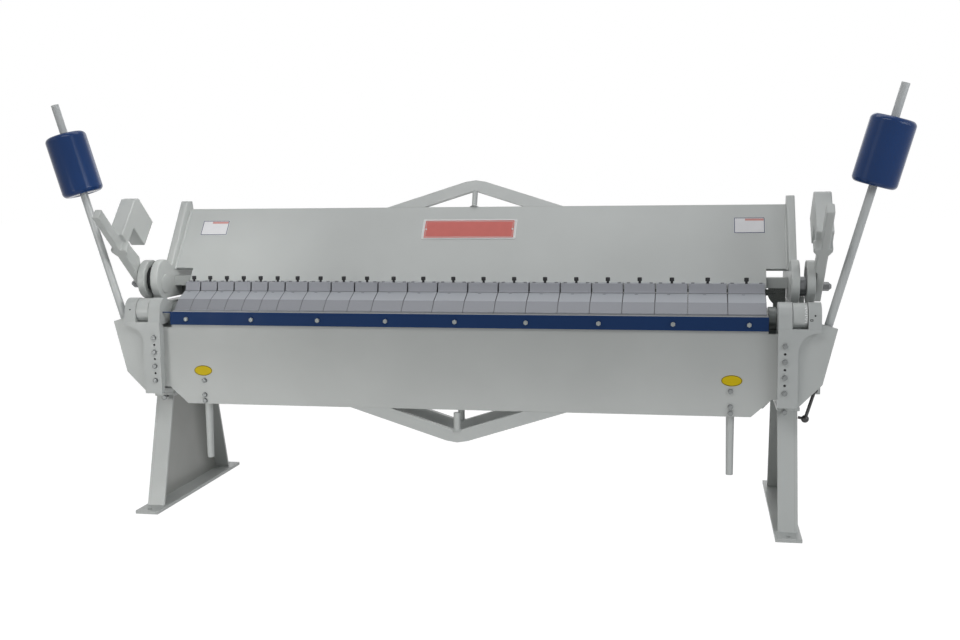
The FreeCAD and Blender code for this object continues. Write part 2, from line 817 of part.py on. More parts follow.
web_y = HINGE_Y + S.web_back
publish(truss("BedTruss", S.bed_truss_half_span, WEB_BOTTOM, -1, S.truss_rise_angle, S.post_radius,
              web_y, web_y + S.web_thickness), "bed_truss")


# Bolts that join legs, housings and bed, and the pins fixed in the frame

def make_frame_bolts():
    bolts = []
    floor = S.leg_height + S.housing_flange
    for word, hand in (("Right", 1), ("Left", -1)):
        for row in range(int(S.base_bolt_count.value)):
            y = HINGE_Y + S.base_bolt_back + S.base_bolt_pitch * row
            bolts.append(hexagon_z(f"HousingBolt{word}{row}", S.bolt_head_radius, floor,
                                   floor + S.bolt_head_height, (LEG_IN + S.base_bolt_inset) * hand, y))
        bolt_z = S.leg_height - S.leg_bolt_drop
        drop = S.leg_height - S.leg_cap - bolt_z + S.leg_bolt_radius
        seat = -(S.leg_head_spread / 2 + drop * LEG_SPLAY + S.bolt_seat_gap)
        x = (LEG_IN + S.leg_bolt_inset) * hand
        head_y = seat - S.leg_bolt_reach
        shank = bar_y(f"LegBoltShank{word}", S.leg_bolt_radius, head_y, seat, x, bolt_z)
        head = hexagon_y(f"LegBoltHead{word}", S.bolt_head_radius, head_y - S.bolt_head_height, head_y,
                         x, bolt_z)
        bolts.append(fuse(f"LegHeadBolt{word}", shank, head))
    return bolts


publish(group("FrameBolts", make_frame_bolts()), "frame_bolts")


def make_frame_pins():
    pivot_pin = bar_x("LeafPivotPin", S.pivot_radius, SIDE_IN - S.pivot_pin_inset,
                      HINGE_OUT, PIVOT_Y, PIVOT_Z)
    link_pin = bar_x("LinkPin", S.strap_pin_radius, HINGE_OUT,
                     STRAP_OUT + S.strap_pin_stand_out, SHAFT_Y, LINK_PIN_Z)
    stop_block = box("StopBlock", (HINGE_OUT, STOP_PIVOT_X + S.stop_block_outset),
                     (STOP_Y, STOP_Y + S.stop_block),
                     (STOP_PIVOT_Z - S.stop_block / 2, STOP_PIVOT_Z + S.stop_block / 2))
    pair = [pivot_pin, link_pin]
    pair += [mirrored(pin.Name + "Left", pin) for pin in pair]
    return pair, stop_block


frame_pins, stop_block = make_frame_pins()
publish(group("FramePins", frame_pins), "frame_pins")
publish(stop_block, "stop_block")


# Apron: plate, bending blade, blade bolts

def make_apron_plate():
    low = APRON_BOTTOM
    corner = low + S.apron_corner_rise
    right = [
        (APRON_CORNER_X, low),
        (APRON_SIDE_X, corner),
        (APRON_END, corner),
        (APRON_END, NOTCH_TOP),
        (BED_END, NOTCH_TOP),
        (BED_END, HINGE_Z - S.apron_drop),
    ]
    left = [(-x, z) for x, z in reversed(right)]
    return plate("ApronPlate", "XZ_Plane", right + left, APRON_FRONT, APRON_BACK)


publish(make_apron_plate(), "apron_plate")
blade_top = HINGE_Z - S.apron_drop
publish(box("ApronBlade", (-BED_END, BED_END),
            (APRON_FRONT - S.blade_thickness, APRON_FRONT), (blade_top - S.blade_height, blade_top)),
        "apron_blade")


def make_blade_bolts():
    face = APRON_FRONT - S.blade_thickness
    bolts = []
    for index in range(int(S.blade_bolt_count.value)):
        x = S.blade_bolt_pitch * (index - (S.blade_bolt_count - 1) / 2)
        bolts.append(hexagon_y(f"BladeBolt{index + 1}", S.blade_bolt_radius, face - S.bolt_head_height,
                               face, x, HINGE_Z - S.blade_bolt_drop))
    return bolts


# Wing plates that carry the masts, hinge brackets and their pins

def on_mast(item):
    """Stands a piece that is built round +Z on the right-hand mast: leant, then splayed."""
    leant = place(group(item.Name + "Leant", [item]), 0, 0, 0, (X_AXIS, S.mast_lean))
    return place(group(item.Name + "Splayed", [leant]), MAST_FOOT_X, APRON_FRONT + S.mast_foot_back,
                 MAST_FOOT_Z, (Y_AXIS, S.mast_splay))


def make_wing():
    outline = [
        (WING_TOP_X, WING_TOP_Z),
        (WING_SHOULDER_X, WING_SHOULDER_Z),
        (WING_SHOULDER_X, YOKE_BOTTOM),
        (WING_IN, YOKE_BOTTOM),
        (WING_IN, ARM_BOTTOM + S.wing_toe_rise),
        (WING_TOE_X, WING_BOTTOM_Z),
        (WING_BOTTOM_X, WING_BOTTOM_Z),
        (WING_MID_X, WING_MID_Z),
    ]
    wing = plate("WingPlate", "XZ_Plane", outline, WING_FRONT, APRON_FRONT)
    half = S.socket_width / 2
    block = on_mast(box("MastSocketBlock", (-half, half), (-half, half), (0, S.socket_length)))
    keep = box("MastSocketLimits", (HINGE_OUT + S.socket_clear, WING_TOP_X + S.socket_width),
               (APRON_FRONT, APRON_FRONT + S.socket_length),
               (WING_MID_Z, WING_SHOULDER_Z - S.socket_drop))
    socket = doc.addObject("Part::Common", "MastSocket")
    socket.Base = block
    socket.Tool = keep
    ear_room = bar_x("EarRoom", S.ear_radius + S.socket_clear, HINGE_OUT, EAR_OUT + S.socket_clear, HINGE_Y,
                     HINGE_Z)
    bore = on_mast(cylinder("MastBore", S.mast_radius, S.mast_length, 0, 0, 0))
    return cut("Wing", fuse("WingWhole", wing, cut("SocketTrimmed", socket, ear_room)), bore)


publish_pair(make_wing(), "wing_plate")
mast = on_mast(cylinder("Mast", S.mast_radius, S.mast_length, 0, 0, 0))
publish(group("Masts", [mast, mirrored("MastLeft", mast)]), "counterweight_masts")


def make_ear(word, x0, x1):
    """Half-round hinge ear whose front slopes out to the face of the arm below it."""
    crown = bar_x(word + "EarCrown", S.ear_radius, x0, x1, HINGE_Y, HINGE_Z)
    cheek_outline = [
        (HINGE_Y - S.ear_radius, HINGE_Z),
        (ARM_FRONT, EAR_FOOT),
        (ARM_FRONT, YOKE_BOTTOM),
        (WING_FRONT, YOKE_BOTTOM),
        (WING_FRONT, EAR_FOOT),
        (HINGE_Y, EAR_FOOT),
        (HINGE_Y, HINGE_Z),
    ]
    cheek = plate(word + "EarCheek", "YZ_Plane", cheek_outline, x0, x1)
    return [crown, cheek]


def bracket_bolt_count():
    return int(S.bracket_bolt_count.value)


def jack_z(row):
    """The height of a jack screw, half way between two bolts of the bracket's column."""
    return BRACKET_BOLT_TOP - S.bracket_bolt_pitch * row - S.bracket_bolt_pitch / 2


def make_bracket():
    ear_in = HINGE_IN - S.hinge_gap
    ear_out = HINGE_OUT + S.hinge_gap
    arm = box("BracketArm", (ARM_IN, ARM_OUT), (ARM_FRONT, WING_FRONT),
              (ARM_BOTTOM, EAR_FOOT))
    yoke = box("BracketYoke", (ARM_IN + OVER, EAR_OUT - OVER), (ARM_FRONT, WING_FRONT),
               (YOKE_BOTTOM, YOKE_TOP))
    ears = make_ear("Inner", ARM_IN, ear_in) + make_ear("Outer", ear_out, EAR_OUT)
    low = YOKE_BOTTOM - S.gusset_drop
    gusset_box = box("GussetBlock", (ARM_OUT - OVER, EAR_OUT), (ARM_FRONT, WING_FRONT),
                     (low, YOKE_BOTTOM + OVER))
    gusset_cut = bar_y("GussetHollow", S.gusset_drop, ARM_FRONT - OVER, WING_FRONT + OVER,
                       ARM_OUT + S.gusset_drop, low)
    gusset_outer = box("GussetOuter", (ARM_OUT + S.gusset_drop, EAR_OUT + OVER),
                       (ARM_FRONT - OVER, WING_FRONT + OVER), (low - OVER, YOKE_BOTTOM))
    gusset = cut("Gusset", gusset_box, gusset_cut, gusset_outer)
    swept = bar_x("KnuckleRoom", S.knuckle_radius + S.knuckle_room, ear_in, ear_out, HINGE_Y, HINGE_Z)
    bore = bar_x("EarBore", S.pin_radius, PIN_IN, EAR_OUT + OVER, HINGE_Y, HINGE_Z)
    ear_front = HINGE_Y - S.ear_radius
    ear_screw = bar_y("EarScrewHole", S.ear_screw_radius, ear_front - OVER, ear_front + S.ear_screw_depth,
                      EAR_SCREW_X, HINGE_Z + S.ear_screw_rise)
    holes = [bar_y(f"JackHole{row}", S.set_screw_radius, ARM_FRONT - OVER, ARM_FRONT + S.jack_depth,
                   BRACKET_BOLT_X, jack_z(row))
             for row in range(bracket_bolt_count() - 1)]
    whole = fuse("BracketWhole", arm, yoke, *ears, gusset)
    return cut("Bracket", whole, swept, bore, ear_screw, *holes)


publish_pair(make_bracket(), "hinge_bracket")
hinge_pin = bar_x("HingePin", S.pin_radius, PIN_IN, EAR_OUT + S.pin_stand_out, HINGE_Y, HINGE_Z)
publish(group("HingePins", [hinge_pin, mirrored("HingePinLeft", hinge_pin)]), "hinge_pins")


def make_bracket_bolts():
    bolts = []
    for row in range(bracket_bolt_count()):
        z = BRACKET_BOLT_TOP - S.bracket_bolt_pitch * row
        bolts.append(hexagon_y(f"BracketBolt{row}", S.bolt_head_radius, ARM_FRONT - S.bolt_head_height,
                               ARM_FRONT, BRACKET_BOLT_X, z))
    for row in range(bracket_bolt_count() - 1):
        bolts.append(bar_y(f"JackScrew{row}", S.set_screw_radius, ARM_FRONT + S.jack_sunk,
                           ARM_FRONT + S.jack_depth, BRACKET_BOLT_X, jack_z(row)))
    for row, rise in enumerate((S.handle_bolt_top_rise, S.handle_bolt_mid_rise, S.handle_bolt_low_rise)):
        bolts.append(hexagon_y(f"HandleBolt{row}", S.bolt_head_radius, APRON_FRONT - S.bolt_head_height,
                               APRON_FRONT, HANDLE_X, APRON_BOTTOM + rise))
    return bolts + [mirrored(bolt.Name + "Left", bolt) for bolt in bolts]


publish(group("ApronBolts", make_blade_bolts() + make_bracket_bolts()), "apron_bolts")

pull = doc.addObject("Part::Cone", "PullHandle")
bind(pull, "Radius1", S.handle_tip_radius)
bind(pull, "Radius2", S.handle_radius)
bind(pull, "Height", HANDLE_TOP - HANDLE_BOTTOM)
place(pull, HANDLE_X, APRON_BACK + S.handle_radius, HANDLE_BOTTOM)
publish(group("PullHandles", [pull, mirrored("PullHandleLeft", pull)]), "pull_handles")

publish(truss("ApronTruss", S.apron_truss_half_span, APRON_BOTTOM, -1, S.truss_rise_angle,
              S.post_radius, APRON_FRONT, APRON_BACK, S.apron_post_gap), "apron_truss")


# Counterweights that slide on the masts, each held by a collar screw

def make_counterweight():
    top = S.mast_length - S.weight_from_tip
    low = top - S.weight_length
    body = cylinder("WeightBlank", S.weight_radius, S.weight_length, 0, 0, low)
    doc.recompute()
    rounded = doc.addObject("Part::Fillet", "WeightRounded")
    rounded.Base = body
    rims = [index for index, edge in enumerate(body.Shape.Edges, start=1) if edge.isClosed()]
    rounded.Edges = [(rim, S.weight_round.value, S.weight_round.value) for rim in rims]
    bore = cylinder("WeightBore", S.mast_radius + S.weight_clearance, S.weight_length + 2 * OVER, 0, 0,
                    low - OVER)
    middle = top - S.weight_length / 2
    hole = bar_y("CollarScrewHole", S.collar_screw_radius, 0, S.weight_radius + OVER, 0, middle)
    tip = S.mast_radius + S.weight_clearance + S.collar_screw_gap
    screw = bar_y("CollarScrew", S.collar_screw_radius, tip, S.mast_radius + S.collar_screw_length, 0,
                  middle)
    weight = cut("Weight", rounded, bore, hole)
    return on_mast(group("Counterweight", [weight, screw]))


publish_pair(make_counterweight(), "counterweight")


# Top leaf: sloping plate, nose bar, side plates and truss

def make_leaf_plate():
    skin = S.leaf_thickness / cosine(S.leaf_lean)
    low = NOSE_BAR_BOTTOM
    outline = [
        (leaf_face_y(low), low),
        (leaf_face_y(LEAF_TOP), LEAF_TOP),
        (leaf_face_y(LEAF_TOP) + S.leaf_thickness * cosine(S.leaf_lean),
         LEAF_TOP - S.leaf_thickness * sine(S.leaf_lean)),
        (leaf_face_y(low) + skin, low),
    ]
    sheet_plate = plate("LeafPlate", "YZ_Plane", outline, -SIDE_IN, SIDE_IN)
    across, down = cosine(S.leaf_lean), sine(S.leaf_lean)
    window_y, through = leaf_face_y(WINDOW_TOP), S.leaf_thickness + OVER
    window_outline = [
        (leaf_face_y(low) - OVER, low - OVER),
        (window_y - OVER * across, WINDOW_TOP + OVER * down),
        (window_y + through * across, WINDOW_TOP - through * down),
        (window_y + through * across, low - OVER),
    ]
    windows = [plate("Window" + word, "YZ_Plane", window_outline, x0, x1)
               for word, x0, x1 in (("Right", BED_END, SIDE_IN + OVER),
                                    ("Left", -SIDE_IN - OVER, -BED_END))]
    return cut("Leaf", sheet_plate, *windows)


publish(make_leaf_plate(), "leaf_plate")
leaf_back_at_bar = leaf_face_y(NOSE_BAR_TOP) + S.leaf_thickness / cosine(S.leaf_lean)
publish(box("NoseBar", (-SIDE_IN, SIDE_IN),
            (leaf_back_at_bar, leaf_back_at_bar + S.nose_bar_depth), (NOSE_BAR_BOTTOM, NOSE_BAR_TOP)),
        "nose_bar")


def make_leaf_side():
    outline = [
        (HINGE_Y + S.side_front_back, SIDE_FRONT_Z),
        (HINGE_Y + S.side_top_back, SIDE_TOP),
        (HINGE_Y + S.side_top_back + S.side_top_width, SIDE_TOP),
        (HINGE_Y + S.side_rear_back, SIDE_REAR_Z),
        (HINGE_Y + S.side_rear_back, SIDE_BOTTOM),
        (SHAFT_Y, SIDE_BOTTOM),
    ]
    side = plate("LeafSide", "YZ_Plane", outline, SIDE_IN, SIDE_OUT)
    boss = bar_x("LeafBoss", S.boss_radius, SIDE_IN, SIDE_OUT, SHAFT_Y, CAM_Z)
    shaft_bore = bar_x("ShaftBore", S.shaft_radius + S.pin_clearance, SIDE_IN - OVER,
                       SIDE_OUT + OVER, SHAFT_Y, SHAFT_Z)
    pivot_bore = bar_x("PivotBore", S.pivot_radius + S.pin_clearance, SIDE_IN - OVER,
                       SIDE_OUT + OVER, PIVOT_Y, PIVOT_Z)
    return cut("LeafEnd", fuse("LeafEndWhole", side, boss), shaft_bore, pivot_bore)


publish_pair(make_leaf_side(), "leaf_side_plate")


def make_top_truss():
    """The stiffener over the top leaf, trimmed to the leaf's sloping top edge."""
    whole = truss("TopTruss", S.top_truss_half_span, 0, 1, S.top_truss_angle, S.top_post_radius,
                  0, S.leaf_thickness, 0, S.top_truss_root)
    leant = place(group("TopTrussLeant", [whole]), 0, leaf_face_y(LEAF_TOP), LEAF_TOP,
                  (X_AXIS, -S.top_truss_lean))
    room = S.top_truss_half_span + S.strap_width
    leaf_room = box("LeafRoom", (-room, room), (-S.strap_width, S.strap_width), (-S.strap_width, 0))
    leaf_room = place(group("LeafRoomLeant", [leaf_room]), 0, leaf_face_y(LEAF_TOP), LEAF_TOP,
                      (X_AXIS, -S.leaf_lean))
    return cut("TopTrussTrimmed", leant, leaf_room)


publish(make_top_truss(), "top_truss")


# Fingers: 22 shoes with clamp blocks, in widths of 3, 4, 5 and 6 inches that fill 96 inches

FINGER_INCHES = [3] * 6 + [4] * 4 + [5] * 10 + [6] * 2
INCH = S.bending_length / sum(FINGER_INCHES)
NOSE_Y = HINGE_Y + S.nose_setback
NOSE_Z = HINGE_Z + S.sheet_gap


def shoe_outline():
    break_y, break_z = HINGE_Y + S.nose_break_back, HINGE_Z + S.nose_break_rise
    top_y, top_z = HINGE_Y + S.shoe_top_back, HINGE_Z + S.shoe_top_rise
    return [
        (NOSE_Y, NOSE_Z),
        (NOSE_Y, NOSE_Z + S.nose_height),
        (break_y, break_z),
        (top_y, top_z),
        (leaf_face_y(top_z), top_z),
        (HINGE_Y + S.heel_back, HINGE_Z + S.heel_rise),
        (HINGE_Y + S.land_back, NOSE_Z),
    ]


def block_outline():
    front, low = HINGE_Y + S.shoe_top_back, HINGE_Z + S.shoe_top_rise
    top = HINGE_Z + S.block_top_rise
    toe = S.block_toe
    return [
        (front, low),
        (front + toe, low + S.block_toe_rise),
        (front + 2 * toe, top),
        (leaf_face_y(top), top),
        (leaf_face_y(low), low),
    ]


def make_fingers():
    screws = []
    start = -BED_END
    for number, inches in enumerate(FINGER_INCHES, start=1):
        end = start + INCH * inches
        x0 = start + S.finger_gap / 2
        x1 = end - S.finger_gap / 2
        if number == 1:
            x0 = start + S.finger_inset
        if number == len(FINGER_INCHES):
            x1 = end - S.finger_inset
        shoe = plate(f"Shoe{number}", "YZ_Plane", shoe_outline(), x0, x1)
        block = plate(f"ClampBlock{number}", "YZ_Plane", block_outline(), x0 + S.block_inset,
                      x1 - S.block_inset)
        publish(group(f"Finger{number}", [shoe, block]), f"finger_{number:02d}")
        screws += finger_screws(number, x0, x1)
        start = end
    return screws


def finger_screws(number, x0, x1):
    """The thumb screw and two jack screws that stand on a clamp block."""
    top = HINGE_Z + S.block_top_rise
    y = HINGE_Y + S.thumb_back
    middle = (x0 + x1) / 2
    neck_top = top + S.thumb_neck_height
    neck = bar_z(f"ThumbNeck{number}", S.thumb_neck_radius, top, neck_top, middle, y)
    head = bar_z(f"ThumbHead{number}", S.thumb_radius, neck_top, neck_top + S.thumb_height, middle, y)
    jacks = [bar_z(f"Jack{word}{number}", S.jack_radius, top, top + S.jack_height, x, y)
             for word, x in (("Low", x0 + S.jack_inset), ("High", x1 - S.jack_inset))]
    return [fuse(f"ThumbScrew{number}", neck, head)] + jacks


publish(group("FingerScrews", make_fingers()), "finger_screws")


# Clamping shafts with their cams, levers, hook weights and nuts

def make_clamp_shaft():
    journal_end = STRAP_IN - S.cam_room
    cam_end = LEVER_IN - S.cam_room / 2
    journal = bar_x("ShaftJournal", S.shaft_radius, SIDE_IN + S.cam_room, journal_end, SHAFT_Y,
                    SHAFT_Z)
    cam = bar_x("ShaftCam", S.cam_radius, journal_end, cam_end, SHAFT_Y, CAM_Z)
    stud = bar_x("ShaftStud", S.stud_radius, cam_end, NUT_OUT, SHAFT_Y, SHAFT_Z)
    nut = hexagon_x("LeverNut", S.nut_across / 2 / cosine(HEX_HALF_ANGLE), NUT_IN, NUT_OUT,
                    SHAFT_Y, SHAFT_Z)
    dome = doc.addObject("Part::Cone", "LeverNutDome")
    bind(dome, "Radius1", S.nut_across / 2)
    bind(dome, "Radius2", S.nut_across / 4)
    bind(dome, "Height", S.nut_dome)
    place(dome, NUT_OUT, SHAFT_Y, SHAFT_Z, TO_X)
    return fuse("ClampShaft", journal, cam, stud, nut, dome)


publish_pair(make_clamp_shaft(), "clamp_shaft")


def on_lever(item):
    """Turns a piece built along +Z about the clamping shaft to the lever's rest angle."""
    return place(item, 0, SHAFT_Y, SHAFT_Z, (X_AXIS, 90 - S.lever_angle))


def make_lever():
    half = S.lever_height / 2
    shoulder = S.lever_shoulder
    outline = [
        (LEVER_IN, -S.lever_tail),
        (LEVER_TAIL_X, -S.lever_tail),
        (WAIST_OUT, S.lever_waist_at),
        (SHOULDER_OUT, shoulder - S.lever_shoulder_flat),
        (SHOULDER_OUT, shoulder),
        (SHOULDER_IN, shoulder),
        (SHOULDER_IN, shoulder - S.lever_shoulder_flat),
        (WAIST_IN, S.lever_waist_at),
        (WAIST_IN, S.strap_ring_radius + S.lever_ring_room + S.lever_ring_slope),
        (LEVER_IN, S.strap_ring_radius + S.lever_ring_room),
    ]
    arm = plate("LeverArm", "XZ_Plane", outline, -half, half)
    grip = box("LeverGrip", (GRIP_IN, GRIP_OUT), (-half, half),
               (shoulder - OVER, S.lever_length))
    ring_end = S.strap_ring_radius + S.lever_ring_room
    heel_outline = [
        (half - OVER, S.lever_heel_foot),
        (half + S.lever_heel_rise, ring_end),
        (half + S.lever_heel_waist_rise, S.lever_waist_at),
        (half - OVER, S.lever_heel_tip),
    ]
    heel = plate("LeverHeel", "YZ_Plane", heel_outline, LEVER_IN, LEVER_TAIL_X)
    bore = bar_x("LeverBore", S.stud_radius, LEVER_IN - OVER, NUT_OUT, 0, 0)
    return on_lever(cut("Lever", fuse("LeverWhole", arm, grip, heel), bore))


def make_hook_weight():
    base = S.lever_height / 2
    outline = [
        (base, S.hook_leg_back),
        (base, S.hook_front),
        (S.hook_top - S.hook_chamfer, S.hook_front),
        (S.hook_top, S.hook_front - S.hook_chamfer),
        (S.hook_top, S.hook_rear),
        (S.hook_under, S.hook_rear),
        (S.hook_under, S.hook_leg_back),
    ]
    return on_lever(plate("HookWeight", "YZ_Plane", outline, HOOK_IN, HOOK_OUT))


publish_pair(fuse("LeverCasting", make_lever(), make_hook_weight()), "clamp_lever")


# Clamping links: a strap round each cam, down to a pin in the housing

def make_link():
    x0, x1 = STRAP_IN, STRAP_OUT
    half = S.strap_shank_width / 2
    ring = bar_x("LinkRing", S.strap_ring_radius, x0, x1, SHAFT_Y, CAM_Z)
    shank = box("LinkShank", (x0, x1), (SHAFT_Y - half, SHAFT_Y + half),
                (LINK_PIN_Z, CAM_Z - S.strap_ring_bore))
    eye = bar_x("LinkEye", half, x0, x1, SHAFT_Y, LINK_PIN_Z)
    ring_bore = bar_x("LinkRingBore", S.strap_ring_bore, x0 - OVER, x1 + OVER, SHAFT_Y, CAM_Z)
    eye_bore = bar_x("LinkEyeBore", S.strap_pin_radius + S.pin_clearance, x0 - OVER, x1 + OVER, SHAFT_Y,
                     LINK_PIN_Z)
    return cut("Link", fuse("LinkWhole", ring, shank, eye), ring_bore, eye_bore)


publish_pair(make_link(), "clamp_link")


# Swing stop lever with its ball, on the right-hand housing

def make_stop_lever():
    turn = (Y_AXIS, S.stop_rod_angle)
    rod_y = STOP_Y - S.stop_hub_length / 2
    hub = bar_y("StopHub", S.stop_rod_radius + S.stop_hub_wall, STOP_Y - S.stop_hub_length,
                STOP_Y - S.bolt_seat_gap, 0, 0)
    rod = cylinder("StopRod", S.stop_rod_radius, S.stop_rod_length, 0, rod_y, -S.stop_rod_length)
    ball = doc.addObject("Part::Sphere", "StopBall")
    bind(ball, "Radius", S.stop_ball_radius)
    place(ball, 0, rod_y, -S.stop_rod_length)
    tail = cylinder("StopTail", S.stop_tail_radius, S.stop_tail_length, 0, rod_y, -S.stop_rod_length,
                    (Y_AXIS, S.stop_tail_angle))
    lever = fuse("StopLever", hub, rod, ball, tail)
    return place(lever, STOP_PIVOT_X, 0, STOP_PIVOT_Z, turn)


publish(make_stop_lever(), "stop_lever")


# Recompute and write the parts

def check(item):
    if any(word in ("Invalid", "Error") for word in item.State):
        raise RuntimeError(f"{item.Label} failed: {item.State}")


doc.recompute()
for item in doc.Objects:
    check(item)
for item in NODES:
    if item.Shape.isNull() or not item.Shape.isValid():
        raise RuntimeError(f"{item.Label} has no valid shape")

os.makedirs("parts", exist_ok=True)
for item in NODES:
    item.Shape.exportStep(f"parts/{item.Label}.step")
    print(item.Label, len(item.Shape.Solids), round(item.Shape.Volume))
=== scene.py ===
"""A box and pan brake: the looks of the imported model.

Metres. +X runs along the bend to the right-hand end, -Y is the front, +Z is up.
The frame gives every place and size that it can; the sizes below are those that it can't.
"""

import json
import math

import bmesh
import bpy
from mathutils import Matrix, Vector


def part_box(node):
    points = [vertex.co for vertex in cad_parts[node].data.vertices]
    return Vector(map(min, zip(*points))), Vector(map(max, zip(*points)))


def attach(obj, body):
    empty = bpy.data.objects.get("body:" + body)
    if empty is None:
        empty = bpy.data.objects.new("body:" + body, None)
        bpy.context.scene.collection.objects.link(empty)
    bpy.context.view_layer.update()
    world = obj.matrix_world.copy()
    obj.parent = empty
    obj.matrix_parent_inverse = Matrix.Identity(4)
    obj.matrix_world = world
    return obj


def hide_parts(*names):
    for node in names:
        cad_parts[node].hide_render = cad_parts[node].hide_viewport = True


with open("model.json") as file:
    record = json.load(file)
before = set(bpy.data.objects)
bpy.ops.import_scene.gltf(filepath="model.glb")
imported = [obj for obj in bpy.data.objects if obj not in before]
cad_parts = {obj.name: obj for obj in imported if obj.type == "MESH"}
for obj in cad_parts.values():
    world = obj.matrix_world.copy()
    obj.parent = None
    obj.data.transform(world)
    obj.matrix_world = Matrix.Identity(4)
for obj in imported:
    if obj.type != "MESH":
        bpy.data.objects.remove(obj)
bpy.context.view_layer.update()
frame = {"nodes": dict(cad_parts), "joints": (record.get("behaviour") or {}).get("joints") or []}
NODES = frame["nodes"]
PIVOTS = {joint["name"]: joint["pos_m"] for joint in frame["joints"] if "pos_m" in joint}


# Places that several sections share

MM = 0.001
SIDES = (("right", 1), ("left", -1))
UP = Matrix.Identity(4)
FRONT = Matrix.Rotation(math.radians(90), 4, "X")

_, HINGE_Y, HINGE_Z = PIVOTS["apron_swing"]
_, SHAFT_Y, SHAFT_Z = PIVOTS["lever_turn_right"]
BLADE_LOW, BLADE_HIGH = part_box("apron_blade")
EAR_FACE_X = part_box("hinge_bracket_right")[0].x
LEG_WEB_X = 1.325

LEAF_LEAN = math.radians(37)
LEAF_LOW, LEAF_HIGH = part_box("leaf_plate")

FINGERS = [f"finger_{number:02d}" for number in range(1, 23)]
SHOE_TOP_Y, SHOE_TOP_Z = HINGE_Y + 112 * MM, HINGE_Z + 74 * MM
SHOE_BREAK_Y, SHOE_BREAK_Z = HINGE_Y + 47 * MM, HINGE_Z + 45 * MM
SHOE_SLOPE = math.atan2(SHOE_TOP_Z - SHOE_BREAK_Z, SHOE_TOP_Y - SHOE_BREAK_Y)


# Shader helpers

def add_node(tree, kind, **values):
    """A node with its inputs set by name; a node property is set by its own lower-case name."""
    node = tree.nodes.new(kind)
    for key, value in values.items():
        if key in node.inputs:
            node.inputs[key].default_value = value
        else:
            setattr(node, key, value)
    return node


def new_material(name, roughness, metallic=0.0, specular=0.5, coat=0.0):
    """A material whose uniform numbers sit on the shader, and the tools to add to it."""
    material = bpy.data.materials.new(name)
    material.use_nodes = True
    tree = material.node_tree
    shader = tree.nodes["Principled BSDF"]
    shader.inputs["Roughness"].default_value = roughness
    shader.inputs["Metallic"].default_value = metallic
    shader.inputs["Specular IOR Level"].default_value = specular
    shader.inputs["Coat Weight"].default_value = coat
    shader.inputs["Coat Roughness"].default_value = 0.12
    return material, tree, shader


def coordinate(tree, space, axis):
    """One coordinate of a point in the named space, or of the surface's own normal."""
    where = add_node(tree, "ShaderNodeTexCoord")
    axes = add_node(tree, "ShaderNodeSeparateXYZ")
    tree.links.new(where.outputs[space], axes.inputs[0])
    return axes.outputs[axis]


def calculate(tree, operation, *values):
    """The result of a math node; each value is a number or another node's output."""
    node = add_node(tree, "ShaderNodeMath", operation=operation)
    for value, socket in zip(values, node.inputs):
        if isinstance(value, (int, float)):
            socket.default_value = value
        else:
            tree.links.new(value, socket)
    return node.outputs[0]


def remap(tree, value, low, high, start=0.3, end=0.7):
    """Maps the band from start to end, where most of a noise lies, to the range from low to high."""
    node = add_node(tree, "ShaderNodeMapRange")
    for socket, number in (("From Min", start), ("From Max", end), ("To Min", low), ("To Max", high)):
        node.inputs[socket].default_value = number
    tree.links.new(value, node.inputs["Value"])
    return node.outputs["Result"]


def noise(tree, scale, detail=2.0, stretch=(1, 1, 1)):
    """Noise fixed to the piece, so that it moves with it; the output is its value."""
    where = add_node(tree, "ShaderNodeTexCoord")
    mapping = add_node(tree, "ShaderNodeMapping", Scale=stretch)
    texture = add_node(tree, "ShaderNodeTexNoise", Scale=scale, Detail=detail)
    tree.links.new(where.outputs["Object"], mapping.inputs["Vector"])
    tree.links.new(mapping.outputs["Vector"], texture.inputs["Vector"])
    return texture.outputs["Fac"]


def mix_colours(tree, factor, under, over, blend_type="MIX"):
    """Puts one colour over another as far as the factor says; each is a colour or a node's output."""
    mix = add_node(tree, "ShaderNodeMix", data_type="RGBA", blend_type=blend_type)
    tree.links.new(factor, mix.inputs["Factor"])
    for value, socket in ((under, mix.inputs["A"]), (over, mix.inputs["B"])):
        if isinstance(value, tuple):
            socket.default_value = (*value, 1)
        else:
            tree.links.new(value, socket)
    return mix.outputs["Result"]


def shade(colour, factor):
    return tuple(min(1.0, channel * factor) for channel in colour)


def vary(tree, factor, colour, share):
    """A colour that goes from a share darker to a share lighter as the factor goes from 0 to 1."""
    return mix_colours(tree, factor, shade(colour, 1 - share), shade(colour, 1 + share))


def bump(tree, shader, height, strength, distance):
    node = add_node(tree, "ShaderNodeBump", Strength=strength, Distance=distance)
    tree.links.new(height, node.inputs["Height"])
    tree.links.new(node.outputs["Normal"], shader.inputs["Normal"])


# Kinds of material

GRAIN_DEPTH = 0.2 * MM
PEEL_DEPTH = 0.4 * MM


def paint(name, colour, roughness, coat=0.0, peel=0.25, mottle=0.05, specular=0.5):
    """Sprayed machine paint: faint patches, a slightly uneven gloss and orange peel."""
    material, tree, shader = new_material(name, roughness, specular=specular, coat=coat)
    patches = remap(tree, noise(tree, scale=2.2, detail=3), 0, 1)
    tree.links.new(vary(tree, patches, colour, mottle), shader.inputs["Base Color"])
    gloss = remap(tree, noise(tree, scale=14, detail=4), roughness * 0.85, roughness * 1.2)
    tree.links.new(gloss, shader.inputs["Roughness"])
    bump(tree, shader, noise(tree, scale=260), peel, PEEL_DEPTH)
    return material


def multiply_in_painted_shade(material, factor, shade_colour):
    """Paints shade into a paint: multiplies its colour by a darker colour where the factor is 1."""
    tree = material.node_tree
    base = tree.nodes["Principled BSDF"].inputs["Base Color"]
    tree.links.new(mix_colours(tree, factor, base.links[0].from_socket, shade_colour, "MULTIPLY"), base)
    return material


def rising_painted_shade(material, low, high, shade_colour):
    """Paints shade into a paint, growing from one height up to another."""
    tree = material.node_tree
    return multiply_in_painted_shade(material, remap(tree, coordinate(tree, "Object", "Z"), 0, 1, low, high), shade_colour)


